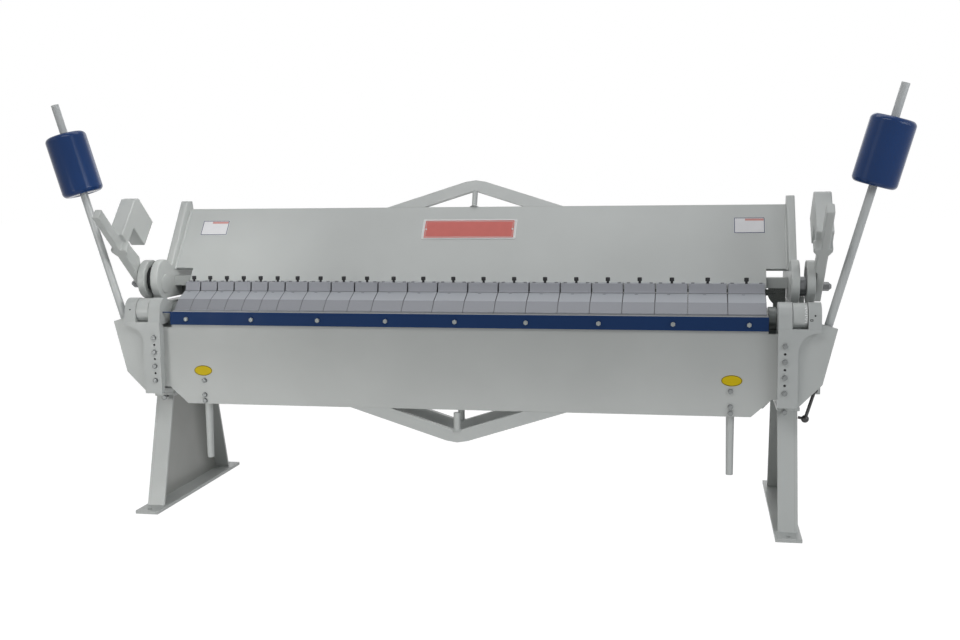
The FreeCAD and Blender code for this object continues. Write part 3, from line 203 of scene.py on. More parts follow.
def banded_painted_shade(material, inner, outer, shade_colour):
    """Paints shade into a paint between two distances from the machine's middle."""
    fade = 0.5 * MM
    tree = material.node_tree
    reach = calculate(tree, "ABSOLUTE", coordinate(tree, "Object", "X"))
    begun = remap(tree, reach, 0, 1, inner - fade, inner)
    not_ended = remap(tree, reach, 1, 0, outer, outer + fade)
    return multiply_in_painted_shade(material, calculate(tree, "MULTIPLY", begun, not_ended), shade_colour)


def metal(name, colour, roughness, grain, scale=12.0, contrast=0.10, metallic=1.0):
    """Machined steel: noise that the grain stretches into fine lines, in colour, gloss and height."""
    material, tree, shader = new_material(name, roughness, metallic=metallic)
    lines = noise(tree, scale, detail=6, stretch=grain)
    tree.links.new(vary(tree, remap(tree, lines, 0, 1), colour, contrast), shader.inputs["Base Color"])
    tree.links.new(remap(tree, lines, roughness * 0.8, roughness * 1.25), shader.inputs["Roughness"])
    bump(tree, shader, lines, 0.12, GRAIN_DEPTH)
    return material


def printed(name, colour, roughness, specular=0.2):
    """Flat ink, enamel or film with hardly any texture."""
    material, tree, shader = new_material(name, roughness, specular=specular)
    patches = remap(tree, noise(tree, scale=30), 0, 1)
    tree.links.new(vary(tree, patches, colour, 0.02), shader.inputs["Base Color"])
    bump(tree, shader, noise(tree, scale=500, detail=1), 0.06, GRAIN_DEPTH)
    return material


# Finger steel, with painted reflection and painted shade for each slope of a finger, painted shade at its
# joints and a painted shadow line under each clamp block

# Painted reflection and shade: how far a face's normal leans up picks its tone, lighter on the shallow
# slope.
STEEP_SLOPE = (0.40, 0.60)
SHALLOW_SLOPE = (0.80, 0.86)
# Painted shade in the joints between the fingers.
JOINT_BAND = (0.486, 0.490)
JOINT_SHADE_TONE = (0.03, 0.03, 0.033)
JOINT_STRENGTH = 0.45
# Painted shadow at the foot of each clamp block.
FOOT_SHADOW_TONE = (0.05, 0.05, 0.055)
FOOT_STRENGTH = 0.55


def facing(tree, low, high):
    """Is 0 where the surface's own normal leans up less than low, and 1 where more than high."""
    return remap(tree, coordinate(tree, "Normal", "Z"), 0, 1, low, high)


def painted_joint_shade(tree, tone):
    """Painted shade in the joints: the ends of a finger's width are dark, most of all on its upper slope.
    """
    off_middle = calculate(tree, "SUBTRACT", coordinate(tree, "Generated", "X"), 0.5)
    edge = remap(tree, calculate(tree, "ABSOLUTE", off_middle), 0, 1, *JOINT_BAND)
    strength = remap(tree, facing(tree, *SHALLOW_SLOPE), JOINT_STRENGTH, 1, 0, 1)
    return mix_colours(tree, calculate(tree, "MULTIPLY", edge, strength), tone, JOINT_SHADE_TONE)


def block_foot_shadow(tree, tone):
    """A thin painted shadow line where the clamp block stands on the shoe."""
    height = coordinate(tree, "Object", "Z")
    begun = remap(tree, height, 0, 1, SHOE_TOP_Z - 0.7 * MM, SHOE_TOP_Z - 0.2 * MM)
    not_ended = remap(tree, height, FOOT_STRENGTH, 0, SHOE_TOP_Z + 1.5 * MM, SHOE_TOP_Z + 2.5 * MM)
    return mix_colours(tree, calculate(tree, "MULTIPLY", begun, not_ended), tone, FOOT_SHADOW_TONE)


def ground_lines_and_painted_light(name, upright, steep, shallow, roughness, metallic):
    """Finger steel: ground lines, a painted reflection on its shallow slope and painted shade on its steep
    one.
    """
    contrast = 0.05
    material, tree, shader = new_material(name, roughness, metallic=metallic)
    lines = noise(tree, scale=14, detail=6, stretch=(60, 3, 3))
    band = remap(tree, lines, 0, 1)
    tone = vary(tree, band, upright, contrast)
    # Painted reflection and shade: a lit or a shaded copy of the steel's colour for each slope.
    for colour, slope in ((steep, STEEP_SLOPE), (shallow, SHALLOW_SLOPE)):
        tone = mix_colours(tree, facing(tree, *slope), tone, vary(tree, band, colour, contrast))
    # Painted shade at the finger joints and a painted shadow line under each block.
    tone = block_foot_shadow(tree, painted_joint_shade(tree, tone))
    tree.links.new(tone, shader.inputs["Base Color"])
    tree.links.new(remap(tree, lines, roughness * 0.85, roughness * 1.2), shader.inputs["Roughness"])
    bump(tree, shader, lines, 0.10, GRAIN_DEPTH)
    return material


# Materials

TURNED = (90, 4, 4)
FLECKED = (20, 20, 20)
MACHINE_GREY = (0.485, 0.505, 0.497)

GREY_PAINT = paint("grey_paint", MACHINE_GREY, 0.42, coat=0.15)
# Painted shade: the apron paint grows darker upwards from 0.48 m to 0.80 m high, in place of the floor's
# light on its lower part.
APRON_PAINT = rising_painted_shade(paint("apron_paint", (0.49, 0.507, 0.497), 0.42, coat=0.15),
                          low=0.48, high=0.80, shade_colour=(0.80, 0.80, 0.80))
# Painted shade: the bed beam is painted much darker at its ends, between the blade's end and the hinge
# ears, where it lies back in a recess.
BED_PAINT = banded_painted_shade(paint("bed_paint", (0.475, 0.505, 0.505), 0.42, coat=0.15),
                        inner=BLADE_HIGH.x + 0.5 * MM, outer=EAR_FACE_X - 0.5 * MM,
                        shade_colour=(0.285, 0.30, 0.291))
# Painted shade: the inner face of each leg's web, in the channel under the machine, is painted darker.
LEG_PAINT = banded_painted_shade(paint("leg_paint", MACHINE_GREY, 0.42, coat=0.15),
                        inner=LEG_WEB_X - 0.1 * MM, outer=LEG_WEB_X + 0.2 * MM, shade_colour=(0.74, 0.7289, 0.703))
MAST_PAINT = paint("mast_paint", (0.51, 0.53, 0.53), 0.32, coat=0.3, peel=0.08)
CAST_PAINT = paint("cast_grey_paint", (0.50, 0.52, 0.51), 0.46, coat=0.1, peel=0.35)
BRACKET_PAINT = paint("bracket_paint", (0.455, 0.475, 0.47), 0.46, coat=0.1, peel=0.3)
BLUE_PAINT = paint("blue_paint", (0.005, 0.038, 0.15), 0.16, peel=0.08, mottle=0.08, specular=0.22)
NAVY_PAINT = paint("navy_paint", (0.014, 0.038, 0.115), 0.42, peel=0.15, specular=0.07)
BLACK_PAINT = paint("black_paint", (0.012, 0.012, 0.013), 0.38, coat=0.2)

# The steep and shallow tones are painted shade and a painted reflection on the same steel.
FINGER_STEEL = ground_lines_and_painted_light("finger_steel_ground_and_painted_light", upright=(0.255, 0.263, 0.288),
                            steep=(0.195, 0.203, 0.222), shallow=(0.30, 0.315, 0.34),
                            roughness=0.5, metallic=0.35)
DARK_STEEL = metal("dark_turned_steel", (0.16, 0.165, 0.17), 0.38, TURNED, metallic=0.85)
PALE_STEEL = metal("scraped_steel", (0.30, 0.305, 0.31), 0.45, TURNED, metallic=0.5)
BRIGHT_STEEL = metal("bright_turned_steel", (0.55, 0.56, 0.57), 0.33, TURNED)
OILED_STEEL = metal("oiled_steel", (0.15, 0.16, 0.152), 0.42, (14, 14, 14), 22, contrast=0.5, metallic=0.5)
ZINC = metal("zinc_plating", (0.27, 0.29, 0.285), 0.42, FLECKED, 40, contrast=0.2, metallic=0.4)
DULL_ZINC = metal("dull_zinc", (0.19, 0.20, 0.20), 0.38, FLECKED, 40, contrast=0.2, metallic=0.7)
JACK_STEEL = metal("jack_screw_steel", (0.17, 0.175, 0.19), 0.42, FLECKED, 40, contrast=0.25, metallic=0.5)
BLACK_OXIDE = metal("black_oxide", (0.018, 0.018, 0.020), 0.45, FLECKED, 30, metallic=0.5)
PLATE_ALUMINIUM = metal("plate_aluminium", (0.42, 0.42, 0.42), 0.45, (3, 80, 80), metallic=0.5)

RED_ENAMEL = printed("red_enamel", (0.61, 0.165, 0.145), 0.32)
WHITE_FILM = printed("white_film", (0.78, 0.78, 0.80), 0.45)
YELLOW_FILM = printed("yellow_film", (0.62, 0.46, 0.008), 0.42, specular=0.12)
WHITE_INK = printed("white_ink", (0.95, 0.95, 0.95), 0.5)
PALE_RED_INK = printed("pale_red_ink", (0.62, 0.30, 0.28), 0.5)
BLUE_INK = printed("blue_grey_ink", (0.05, 0.07, 0.13), 0.5)
BLACK_INK = printed("black_ink", (0.02, 0.02, 0.02), 0.5)


# Outlines and rings

HEX_STEPS = 36


def circle(radius, z, steps=24):
    turn = 2 * math.pi / steps
    return [(radius * math.cos(turn * i), radius * math.sin(turn * i), z) for i in range(steps)]


def hexagon_ring(across, z, limit=None, fall=0.0):
    """A hexagon as many points; where it is cut to a round limit, its corners fall away."""
    ring = []
    for index in range(HEX_STEPS):
        angle = 2 * math.pi * index / HEX_STEPS
        radius = across / 2 / math.cos((angle + math.pi / 6) % (math.pi / 3) - math.pi / 6)
        drop = max(0.0, radius - limit) * fall if limit else 0.0
        ring.append((radius * math.cos(angle), radius * math.sin(angle), z - drop))
    return ring


def knurled_ring(radius, z, depth=0.0, ridges=18):
    """A ring whose points go in and out between the ridges of a knurl."""
    steps = ridges * 4
    ring = []
    for index in range(steps):
        reach = radius - (depth if index % 4 in (0, 3) else 0.0)
        angle = 2 * math.pi * index / steps
        ring.append((reach * math.cos(angle), reach * math.sin(angle), z))
    return ring


def rounded_outline(width, height, radius, steps=6):
    """A rectangle with rounded corners, anticlockwise from its right-hand side."""
    points = []
    for quarter, (sx, sy) in enumerate(((1, 1), (-1, 1), (-1, -1), (1, -1))):
        cx, cy = sx * (width / 2 - radius), sy * (height / 2 - radius)
        for step in range(steps + 1):
            angle = math.pi / 2 * (quarter + step / steps)
            points.append((cx + radius * math.cos(angle), cy + radius * math.sin(angle)))
    return points


def oval_outline(width, height, steps=64):
    turn = 2 * math.pi / steps
    return [(width / 2 * math.cos(turn * i), height / 2 * math.sin(turn * i)) for i in range(steps)]


# Surfaces

def skin(bm, rings, matrix=UP, capped=True):
    """Joins rings of equal count into a surface, with flat ends where it is capped."""
    made = [[bm.verts.new(matrix @ Vector(point)) for point in ring] for ring in rings]
    count = len(rings[0])
    for low, high in zip(made, made[1:]):
        for index in range(count):
            after = (index + 1) % count
            bm.faces.new((low[index], low[after], high[after], high[index]))
    if capped:
        bm.faces.new(list(reversed(made[0])))
        bm.faces.new(made[-1])


def lathe(bm, profile, matrix=UP, steps=32):
    """A turned piece: the profile is pairs of radius and height."""
    skin(bm, [circle(radius, z, steps) for radius, z in profile], matrix)


def slab(bm, outline, low, high, matrix, edge=0.0):
    """A flat plate with a softened upper edge, from its outline."""
    reach_x = max(x for x, y in outline)
    reach_y = max(y for x, y in outline)
    inset = [(x * (1 - edge / reach_x), y * (1 - edge / reach_y)) for x, y in outline]
    rings = [[(x, y, low) for x, y in outline], [(x, y, high - edge) for x, y in outline],
             [(x, y, high) for x, y in inset]]
    skin(bm, rings, matrix)


def frame_band(bm, outer, inner, low, high, matrix):
    """A raised border between two outlines with as many points each."""
    rings = [[(x, y, low) for x, y in outer], [(x, y, high) for x, y in outer],
             [(x, y, high) for x, y in inner], [(x, y, low) for x, y in inner]]
    skin(bm, rings, matrix, capped=False)


def weld_bead(bm, start, end, radius, pitch=6 * MM):
    """A row of overlapping ripples laid along a straight seam."""
    run = end - start
    count = max(6, round(run.length / pitch) * 4)
    turn = run.to_track_quat("Z", "Y").to_matrix().to_4x4()
    rings = []
    for index in range(count + 1):
        ripple = 0.86 + 0.14 * abs(math.sin(math.pi * index / 4))
        taper = min(1.0, 0.4 + 0.3 * min(index, count - index))
        rings.append(circle(radius * ripple * taper, run.length * index / count, 8))
    skin(bm, rings, Matrix.Translation(start) @ turn)


def hex_head(bm, matrix, across, height, washer=0.0):
    """A bolt head with a chamfered, slightly dished top, on a round washer where it has one."""
    if washer:
        outer = across * 0.6
        profile = [(outer * 0.9, 0), (outer, washer * 0.25), (outer, washer * 0.7), (outer * 0.95, washer)]
        lathe(bm, profile, matrix, HEX_STEPS)
    rim = across / 2 * 0.97
    dish = 0.6 * MM
    rings = [
        hexagon_ring(across, washer),
        hexagon_ring(across, height, limit=rim, fall=math.tan(math.radians(30))),
        circle(rim, height, HEX_STEPS),
        circle(rim * 0.82, height, HEX_STEPS),
        circle(rim * 0.74, height - dish, HEX_STEPS),
    ]
    skin(bm, rings, matrix)


def socket_screw(bm, matrix, radius, length):
    """A grub screw with a hexagon socket in its end."""
    chamfer = 0.5 * MM
    rings = [
        circle(radius, 0, HEX_STEPS),
        circle(radius, length - chamfer, HEX_STEPS),
        circle(radius * 0.9, length, HEX_STEPS),
        hexagon_ring(radius * 1.05, length),
        hexagon_ring(radius * 1.05, length * 0.5),
    ]
    skin(bm, rings, matrix)


def threaded_stud(bm, matrix, radius, length, pitch=1.5 * MM):
    """A stud with a ring of thread at every pitch."""
    root = radius * 0.86
    profile = [(root, 0)]
    for turn in range(int(length / pitch)):
        profile += [(root, pitch * (turn + 0.15)), (radius, pitch * (turn + 0.5))]
    profile.append((root, length))
    lathe(bm, profile, matrix, 20)


# Pieces and the solids that they follow

def piece(name, body, slot, material, build, *given, hides=()):
    """Makes an object from a building function, puts it on a body and gives it its finish."""
    bm = bmesh.new()
    build(bm, *given)
    bmesh.ops.recalc_face_normals(bm, faces=bm.faces)
    mesh = bpy.data.meshes.new(name)
    bm.to_mesh(mesh)
    bm.free()
    mesh.materials.append(material)
    mesh.shade_smooth()
    mesh.set_sharp_from_angle(angle=math.radians(35))
    item = bpy.data.objects.new(name, mesh)
    bpy.context.scene.collection.objects.link(item)
    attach(item, body)
    if hides:
        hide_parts(*hides)


def islands(node):
    """The box of each separate solid of a CAD node, as lowest and highest corner, from left to right."""
    bm = bmesh.new()
    bm.from_mesh(NODES[node].data)
    bmesh.ops.remove_doubles(bm, verts=bm.verts, dist=1e-6)
    todo = set(bm.verts)
    found = []
    while todo:
        stack = [todo.pop()]
        corners = []
        while stack:
            vert = stack.pop()
            corners.append(vert.co.copy())
            for edge in vert.link_edges:
                other = edge.other_vert(vert)
                if other in todo:
                    todo.remove(other)
                    stack.append(other)
        low = Vector([min(c[axis] for c in corners) for axis in range(3)])
        high = Vector([max(c[axis] for c in corners) for axis in range(3)])
        found.append((low, high))
    bm.free()
    return sorted(found, key=lambda pair: tuple(pair[0]))


# Finishes of the CAD nodes

SHARP_ANGLE = math.radians(16)
FLAT_ANGLE = math.radians(0.5)
WELD_DISTANCE = 0.01 * MM


def give_material(node, material):
    item = NODES[node]
    item.data.materials.clear()
    item.data.materials.append(material)
    return item


def dress(node, material, bevel=0.0, segments=2, clamp=True):
    """Gives a node its material, welds and cleans its facets, and rounds its edges."""
    item = give_material(node, material)
    weld = item.modifiers.new("weld", "WELD")
    weld.merge_threshold = WELD_DISTANCE
    if bevel:
        flat = item.modifiers.new("merge_flat_faces", "DECIMATE")
        flat.decimate_type = "DISSOLVE"
        flat.angle_limit = FLAT_ANGLE
        edge = item.modifiers.new("soft_edges", "BEVEL")
        edge.width = bevel
        edge.segments = segments
        edge.limit_method = "ANGLE"
        edge.angle_limit = SHARP_ANGLE
        edge.use_clamp_overlap = clamp
    item.data.shade_smooth()
    item.data.set_sharp_from_angle(angle=SHARP_ANGLE)
    normals = item.modifiers.new("even_normals", "WEIGHTED_NORMAL")
    normals.keep_sharp = True


def cast(node, material, grain, passes):
    """Gives a node the flowing edges of a casting."""
    item = give_material(node, material)
    item.data.shade_smooth()
    remesh = item.modifiers.new("even_faces", "REMESH")
    remesh.mode = "VOXEL"
    remesh.voxel_size = grain
    remesh.use_smooth_shade = True
    flow = item.modifiers.new("flowing_edges", "SMOOTH")
    flow.factor = 0.5
    flow.iterations = passes


def dress_all():
    for side, _ in SIDES:
        dress(f"leg_{side}", LEG_PAINT, 1.5 * MM)
        dress(f"end_housing_{side}", GREY_PAINT, 2.0 * MM)
        dress(f"wing_plate_{side}", GREY_PAINT, 1.5 * MM)
        dress(f"hinge_bracket_{side}", BRACKET_PAINT, 3.0 * MM, segments=3)
        cast(f"leaf_side_plate_{side}", CAST_PAINT, grain=4.0 * MM, passes=8)
        dress(f"counterweight_{side}", BLUE_PAINT)
        cast(f"clamp_lever_{side}", CAST_PAINT, grain=3.0 * MM, passes=6)
        dress(f"clamp_link_{side}", CAST_PAINT, 2.5 * MM, segments=3, clamp=False)
        dress(f"clamp_shaft_{side}", DARK_STEEL, 0.8 * MM)
    dress("apron_plate", APRON_PAINT, 1.2 * MM)
    dress("bed_beam", BED_PAINT, 1.2 * MM)
    for node in ("bed_truss", "apron_truss", "leaf_plate", "nose_bar", "top_truss", "stop_block"):
        dress(node, GREY_PAINT, 1.2 * MM)
    dress("pull_handles", GREY_PAINT, 0.8 * MM)
    dress("counterweight_masts", MAST_PAINT, 0.8 * MM)
    dress("bed_edge", PALE_STEEL, 0.5 * MM)
    dress("leaf_adjusters", OILED_STEEL, 1.0 * MM)
    dress("frame_pins", DARK_STEEL, 0.8 * MM)
    dress("hinge_pins", BRIGHT_STEEL, 0.8 * MM)
    dress("apron_blade", NAVY_PAINT, 0.8 * MM)
    dress("stop_lever", BLACK_PAINT)
    for node in FINGERS:
        dress(node, FINGER_STEEL, 0.7 * MM)


dress_all()


# Bolts and screws of the apron, in place of its plain ones: the radius tells which is which

JACK_RADIUS_LIMIT = 8 * MM
BLADE_BOLT_LIMIT = 10 * MM
BRACKET_WASHER = 1.6 * MM
BRACKET_HEAD_SHARE = 0.92


def apron_bolts(over, up_to):
    """The seat, radius and height of each bolt on the apron whose radius lies in a range."""
    for low, high in islands("apron_bolts"):
        radius = (high.x - low.x) / 2
        if over < radius <= up_to:
            middle = (low + high) / 2
            yield Matrix.Translation((middle.x, high.y, middle.z)) @ FRONT, radius, high.y - low.y


def make_bracket_bolts(bm):
    for seat, radius, height in apron_bolts(BLADE_BOLT_LIMIT, math.inf):
        hex_head(bm, seat, radius * math.sqrt(3) * BRACKET_HEAD_SHARE, height, BRACKET_WASHER)


def make_blade_bolts(bm):
    for seat, radius, height in apron_bolts(JACK_RADIUS_LIMIT, BLADE_BOLT_LIMIT):
        hex_head(bm, seat, radius * math.sqrt(3), height)


def make_jack_screws(bm):
    for seat, radius, length in apron_bolts(0, JACK_RADIUS_LIMIT):
        socket_screw(bm, seat, radius, length)


# Bolts of the frame

HOUSING_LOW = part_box("end_housing_right")[0].z
FRAME_WASHER = 2 * MM
LEG_BOLT_RADIUS = 5 * MM
LEG_BOLT_HEAD = 9 * MM


def make_frame_bolts(bm):
    """Those in the housings stand up, and those at the leg heads lie, with their thread showing."""
    for low, high in islands("frame_bolts"):
        middle = (low + high) / 2
        across = (high.x - low.x) / 2 * math.sqrt(3)
        if middle.z > HOUSING_LOW:
            seat = Matrix.Translation((middle.x, middle.y, low.z))
            hex_head(bm, seat, across, high.z - low.z, FRAME_WASHER)
        else:
            seat = Matrix.Translation((middle.x, high.y, middle.z)) @ FRONT
            reach = high.y - low.y - LEG_BOLT_HEAD
            threaded_stud(bm, seat, LEG_BOLT_RADIUS, reach)
            hex_head(bm, seat @ Matrix.Translation((0, 0, reach)), across, LEG_BOLT_HEAD)


piece("bracket_bolt_heads", "apron", "bolt_zinc", DULL_ZINC, make_bracket_bolts, hides=["apron_bolts"])
piece("blade_bolt_heads", "apron", "bolt_zinc", ZINC, make_blade_bolts, hides=["apron_bolts"])
piece("bracket_jack_screws", "apron", "screw_black", BLACK_OXIDE, make_jack_screws, hides=["apron_bolts"])
piece("frame_bolt_heads", "frame", "bolt_zinc", DULL_ZINC, make_frame_bolts, hides=["frame_bolts"])


# Thumb screws and jack screws on the clamp blocks: the height tells which is which

JACK_HEIGHT_LIMIT = 8 * MM
KNURL_DEPTH = 0.7 * MM


def block_screws(over, up_to):
    """The seat, radius and height of each screw on the clamp blocks whose height lies in a range."""
    for low, high in islands("finger_screws"):
        height = high.z - low.z
        if over < height <= up_to:
            middle = (low + high) / 2
            yield Matrix.Translation((middle.x, middle.y, low.z)), (high.x - low.x) / 2, height


def make_finger_jacks(bm):
    for seat, radius, height in block_screws(0, JACK_HEIGHT_LIMIT):
        socket_screw(bm, seat, radius, height)


def make_finger_screws(bm):
    for seat, radius, height in block_screws(JACK_HEIGHT_LIMIT, math.inf):
        neck = height * 0.375
        lathe(bm, [(radius * 0.56, 0), (radius * 0.56, neck)], seat)
        rings = [
            knurled_ring(radius * 0.88, neck),
            knurled_ring(radius, neck + 1.2 * MM, KNURL_DEPTH),
            knurled_ring(radius, height - 1.4 * MM, KNURL_DEPTH),
            knurled_ring(radius * 0.86, height),
            knurled_ring(radius * 0.45, height),
            knurled_ring(radius * 0.40, height - 1.0 * MM),
        ]
        skin(bm, rings, seat)


piece("finger_thumb_screws", "top_leaf", "screw_black", BLACK_OXIDE, make_finger_screws,
      hides=["finger_screws"])
piece("finger_jack_screws", "top_leaf", "finger_steel", JACK_STEEL, make_finger_jacks,
      hides=["finger_screws"])


# Nameplate on the sloping leaf, with nothing written on it

LEAF_FACE = Matrix.Rotation(math.radians(90) - LEAF_LEAN, 4, "X")
NAMEPLATE_WIDTH, NAMEPLATE_HEIGHT, NAMEPLATE_X, NAMEPLATE_Z = 0.412, 0.105, -0.009, 1.161
FIELD_WIDTH, FIELD_HEIGHT = NAMEPLATE_WIDTH - 0.022, NAMEPLATE_HEIGHT - 0.014
RIM_WIDTH = 0.0022
LINE_INSET = 0.012
RIVET_X = NAMEPLATE_WIDTH / 2 - 18 * MM
RIVET = [(4.2 * MM, -0.2 * MM), (4.0 * MM, 0.8 * MM), (2.8 * MM, 1.7 * MM), (0.8 * MM, 2.1 * MM)]


def on_leaf(x, z):
    """A frame on the front face of the leaf: its x to the right, its y up the slope, its z outwards."""
    y = LEAF_LOW.y + (z - LEAF_LOW.z) * math.tan(LEAF_LEAN)
    return Matrix.Translation((x, y, z)) @ LEAF_FACE


def make_nameplate_field(bm):
    outline = rounded_outline(FIELD_WIDTH, FIELD_HEIGHT, 0.006)
    slab(bm, outline, 1.6 * MM, 2.4 * MM, on_leaf(NAMEPLATE_X, NAMEPLATE_Z), 0.2 * MM)


def make_nameplate_plate(bm):
    """The metal plate under the enamel, with a raised rim, an inner line and a rivet at each end."""
    spot = on_leaf(NAMEPLATE_X, NAMEPLATE_Z)
    slab(bm, rounded_outline(NAMEPLATE_WIDTH, NAMEPLATE_HEIGHT, 0.010), 0.1 * MM, 1.8 * MM, spot, 0.4 * MM)
    rim = [rounded_outline(FIELD_WIDTH + grow, FIELD_HEIGHT + grow, corner)
           for grow, corner in ((RIM_WIDTH, 0.007), (-RIM_WIDTH, 0.005))]
    frame_band(bm, *rim, 1.6 * MM, 3.0 * MM, spot)
    line = [rounded_outline(FIELD_WIDTH - inset, FIELD_HEIGHT - inset, corner)
            for inset, corner in ((LINE_INSET, 0.004), (LINE_INSET + RIM_WIDTH, 0.003))]
    frame_band(bm, *line, 2.2 * MM, 2.7 * MM, spot)
    for hand in (-1, 1):
        lathe(bm, RIVET, spot @ Matrix.Translation((hand * RIVET_X, 0, 2.4 * MM)))


piece("nameplate_field", "top_leaf", "machine_paint", RED_ENAMEL, make_nameplate_field)
piece("nameplate_plate", "top_leaf", "machined_steel", PLATE_ALUMINIUM, make_nameplate_plate)


# Blank labels near the ends of the leaf: a film, the line round it and a pale red band

LABEL_WIDTH, LABEL_HEIGHT, LABEL_X, LABEL_Z = 0.124, 0.078, 1.161, 1.172
LABEL_SHIFT = 0.004
BAND_X, BAND_DROP, BAND_WIDTH, BAND_HEIGHT = 0.020, 0.011, LABEL_WIDTH * 0.6, 0.010


def label_spot(hand):
    return on_leaf(LABEL_X * hand - LABEL_SHIFT, LABEL_Z)


def make_label(bm, hand):
    slab(bm, rounded_outline(LABEL_WIDTH, LABEL_HEIGHT, 0.004), 0.1 * MM, 0.7 * MM, label_spot(hand))


def make_label_line(bm, hand):
    outer, inner = [rounded_outline(LABEL_WIDTH - inset, LABEL_HEIGHT - inset, corner)
                    for inset, corner in ((0.002, 0.003), (0.008, 0.002))]
    frame_band(bm, outer, inner, 0.6 * MM, 0.85 * MM, label_spot(hand))


def make_label_band(bm, hand):
    spot = label_spot(hand) @ Matrix.Translation((BAND_X, LABEL_HEIGHT / 2 - BAND_DROP, 0))
    slab(bm, rounded_outline(BAND_WIDTH, BAND_HEIGHT, 0.0015), 0.6 * MM, 0.9 * MM, spot)


for side, hand in SIDES:
    piece(f"blank_label_{side}", "top_leaf", "machine_paint", WHITE_FILM, make_label, hand)
    piece(f"blank_label_line_{side}", "top_leaf", "machine_paint", BLUE_INK, make_label_line, hand)
    piece(f"blank_label_band_{side}", "top_leaf", "machine_paint", PALE_RED_INK, make_label_band, hand)


# Weld beads that join the leaf to its side plates

WINDOW_TOP_Z = 0.996
BEAD_RADIUS = 5.5 * MM


def make_leaf_welds(bm):
    """A bead up each end of the leaf's front face, from the corner window to the top edge."""
    out = Vector((0, -math.cos(LEAF_LEAN), math.sin(LEAF_LEAN))) * 0.5 * MM
    for hand in (-1, 1):
        x = (LEAF_HIGH.x - 2.5 * MM) * hand
        low, high = [on_leaf(x, z).translation + out for z in (WINDOW_TOP_Z, LEAF_HIGH.z - 8 * MM)]
        weld_bead(bm, low, high, BEAD_RADIUS)


piece("leaf_welds", "top_leaf", "machine_paint", CAST_PAINT, make_leaf_welds)


# Yellow oval plates on the apron, over the pull handles

OVAL_X, OVAL_Z, OVAL_WIDTH, OVAL_HEIGHT = 1.084, 0.588, 0.080, 0.044
APRON_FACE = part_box("apron_plate")[0].y


def oval_spot(hand):
    return Matrix.Translation((OVAL_X * hand, APRON_FACE, OVAL_Z)) @ FRONT


def make_oval(bm, hand):
    slab(bm, oval_outline(OVAL_WIDTH, OVAL_HEIGHT), 0.1 * MM, 0.8 * MM, oval_spot(hand))


def make_oval_line(bm, hand):
    outer, inner = [oval_outline(OVAL_WIDTH - inset, OVAL_HEIGHT - inset) for inset in (0.002, 0.006)]
    frame_band(bm, outer, inner, 0.6 * MM, 1.0 * MM, oval_spot(hand))


for side, hand in SIDES:
    piece(f"yellow_oval_{side}", "apron", "machine_paint", YELLOW_FILM, make_oval, hand)
    piece(f"yellow_oval_line_{side}", "apron", "machine_paint", BLACK_INK, make_oval_line, hand)


# Caps over the ends of the clamping shafts, on the inner face of each boss

SHAFT_CAP = [(42 * MM, 0), (42 * MM, 1.4 * MM), (41 * MM, 2.2 * MM), (39 * MM, 2.6 * MM),
             (12 * MM, 3.0 * MM)]


def make_shaft_cap(bm, hand):
    turn = Matrix.Rotation(math.radians(-90 * hand), 4, "Y")
    lathe(bm, SHAFT_CAP, Matrix.Translation((LEAF_HIGH.x * hand, SHAFT_Y, SHAFT_Z)) @ turn, 64)


for side, hand in SIDES:
    piece(f"shaft_cap_{side}", "top_leaf", "machine_paint", CAST_PAINT, make_shaft_cap, hand)


# Degree marks on the right-hand knuckle

KNUCKLE_RADIUS = 52 * MM
KNUCKLE_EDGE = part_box("end_housing_right")[1].x
MARK_COUNT, FIRST_MARK, MARK_STEP = 11, math.radians(-20), math.radians(7.5)
LONG_MARK, SHORT_MARK, MARK_LINE = 9 * MM, 6 * MM, 2.4 * MM


def make_degree_marks(bm):
    for step in range(MARK_COUNT):
        length = SHORT_MARK if step % 2 else LONG_MARK
        turn = Matrix.Rotation(math.radians(90) - FIRST_MARK - MARK_STEP * step, 4, "X")
        spot = Matrix.Translation((KNUCKLE_EDGE - 2 * MM - length / 2, HINGE_Y, HINGE_Z)) @ turn
        slab(bm, rounded_outline(length, MARK_LINE, 0.4 * MM, 2), KNUCKLE_RADIUS - 0.3 * MM,
             KNUCKLE_RADIUS + 0.25 * MM, spot)


piece("degree_marks", "frame", "machine_paint", WHITE_INK, make_degree_marks)


# Index mark and set screws on the front of the hinge ears

EAR_FRONT = HINGE_Y - 54 * MM
EAR_SCREW_X, EAR_SCREW_Z = 1.386, 0.846
EAR_SCREW_RADIUS, EAR_SCREW_LENGTH, EAR_SCREW_DEPTH = 3.4 * MM, 2.6 * MM, 4 * MM
INDEX_X, INDEX_Z, INDEX_RISE = 1.373, 0.829, 1.6 * MM
INDEX_TILT = math.radians(90) - math.atan(1 / 6)


def make_index_mark(bm):
    """An open box on the ear's front, which leans a sixth of its height there."""
    place = Matrix.Translation((INDEX_X, EAR_FRONT - INDEX_RISE, INDEX_Z))
    outer = rounded_outline(11 * MM, 8 * MM, 1.0 * MM, 2)
    inner = rounded_outline(6 * MM, 3.5 * MM, 0.5 * MM, 2)
    frame_band(bm, outer, inner, -0.2 * MM, 0.4 * MM, place @ Matrix.Rotation(INDEX_TILT, 4, "X"))


def make_ear_screws(bm):
    for hand in (-1, 1):
        spot = Matrix.Translation((EAR_SCREW_X * hand, EAR_FRONT + EAR_SCREW_DEPTH, EAR_SCREW_Z)) @ FRONT
        socket_screw(bm, spot, EAR_SCREW_RADIUS, EAR_SCREW_LENGTH)


piece("index_mark", "apron", "machine_paint", BLACK_INK, make_index_mark)
piece("ear_set_screws", "apron", "screw_black", BLACK_OXIDE, make_ear_screws)


# Marks on the upper slope of each finger, and a dark sheet behind the clamp blocks, painted shade that
# shows between them

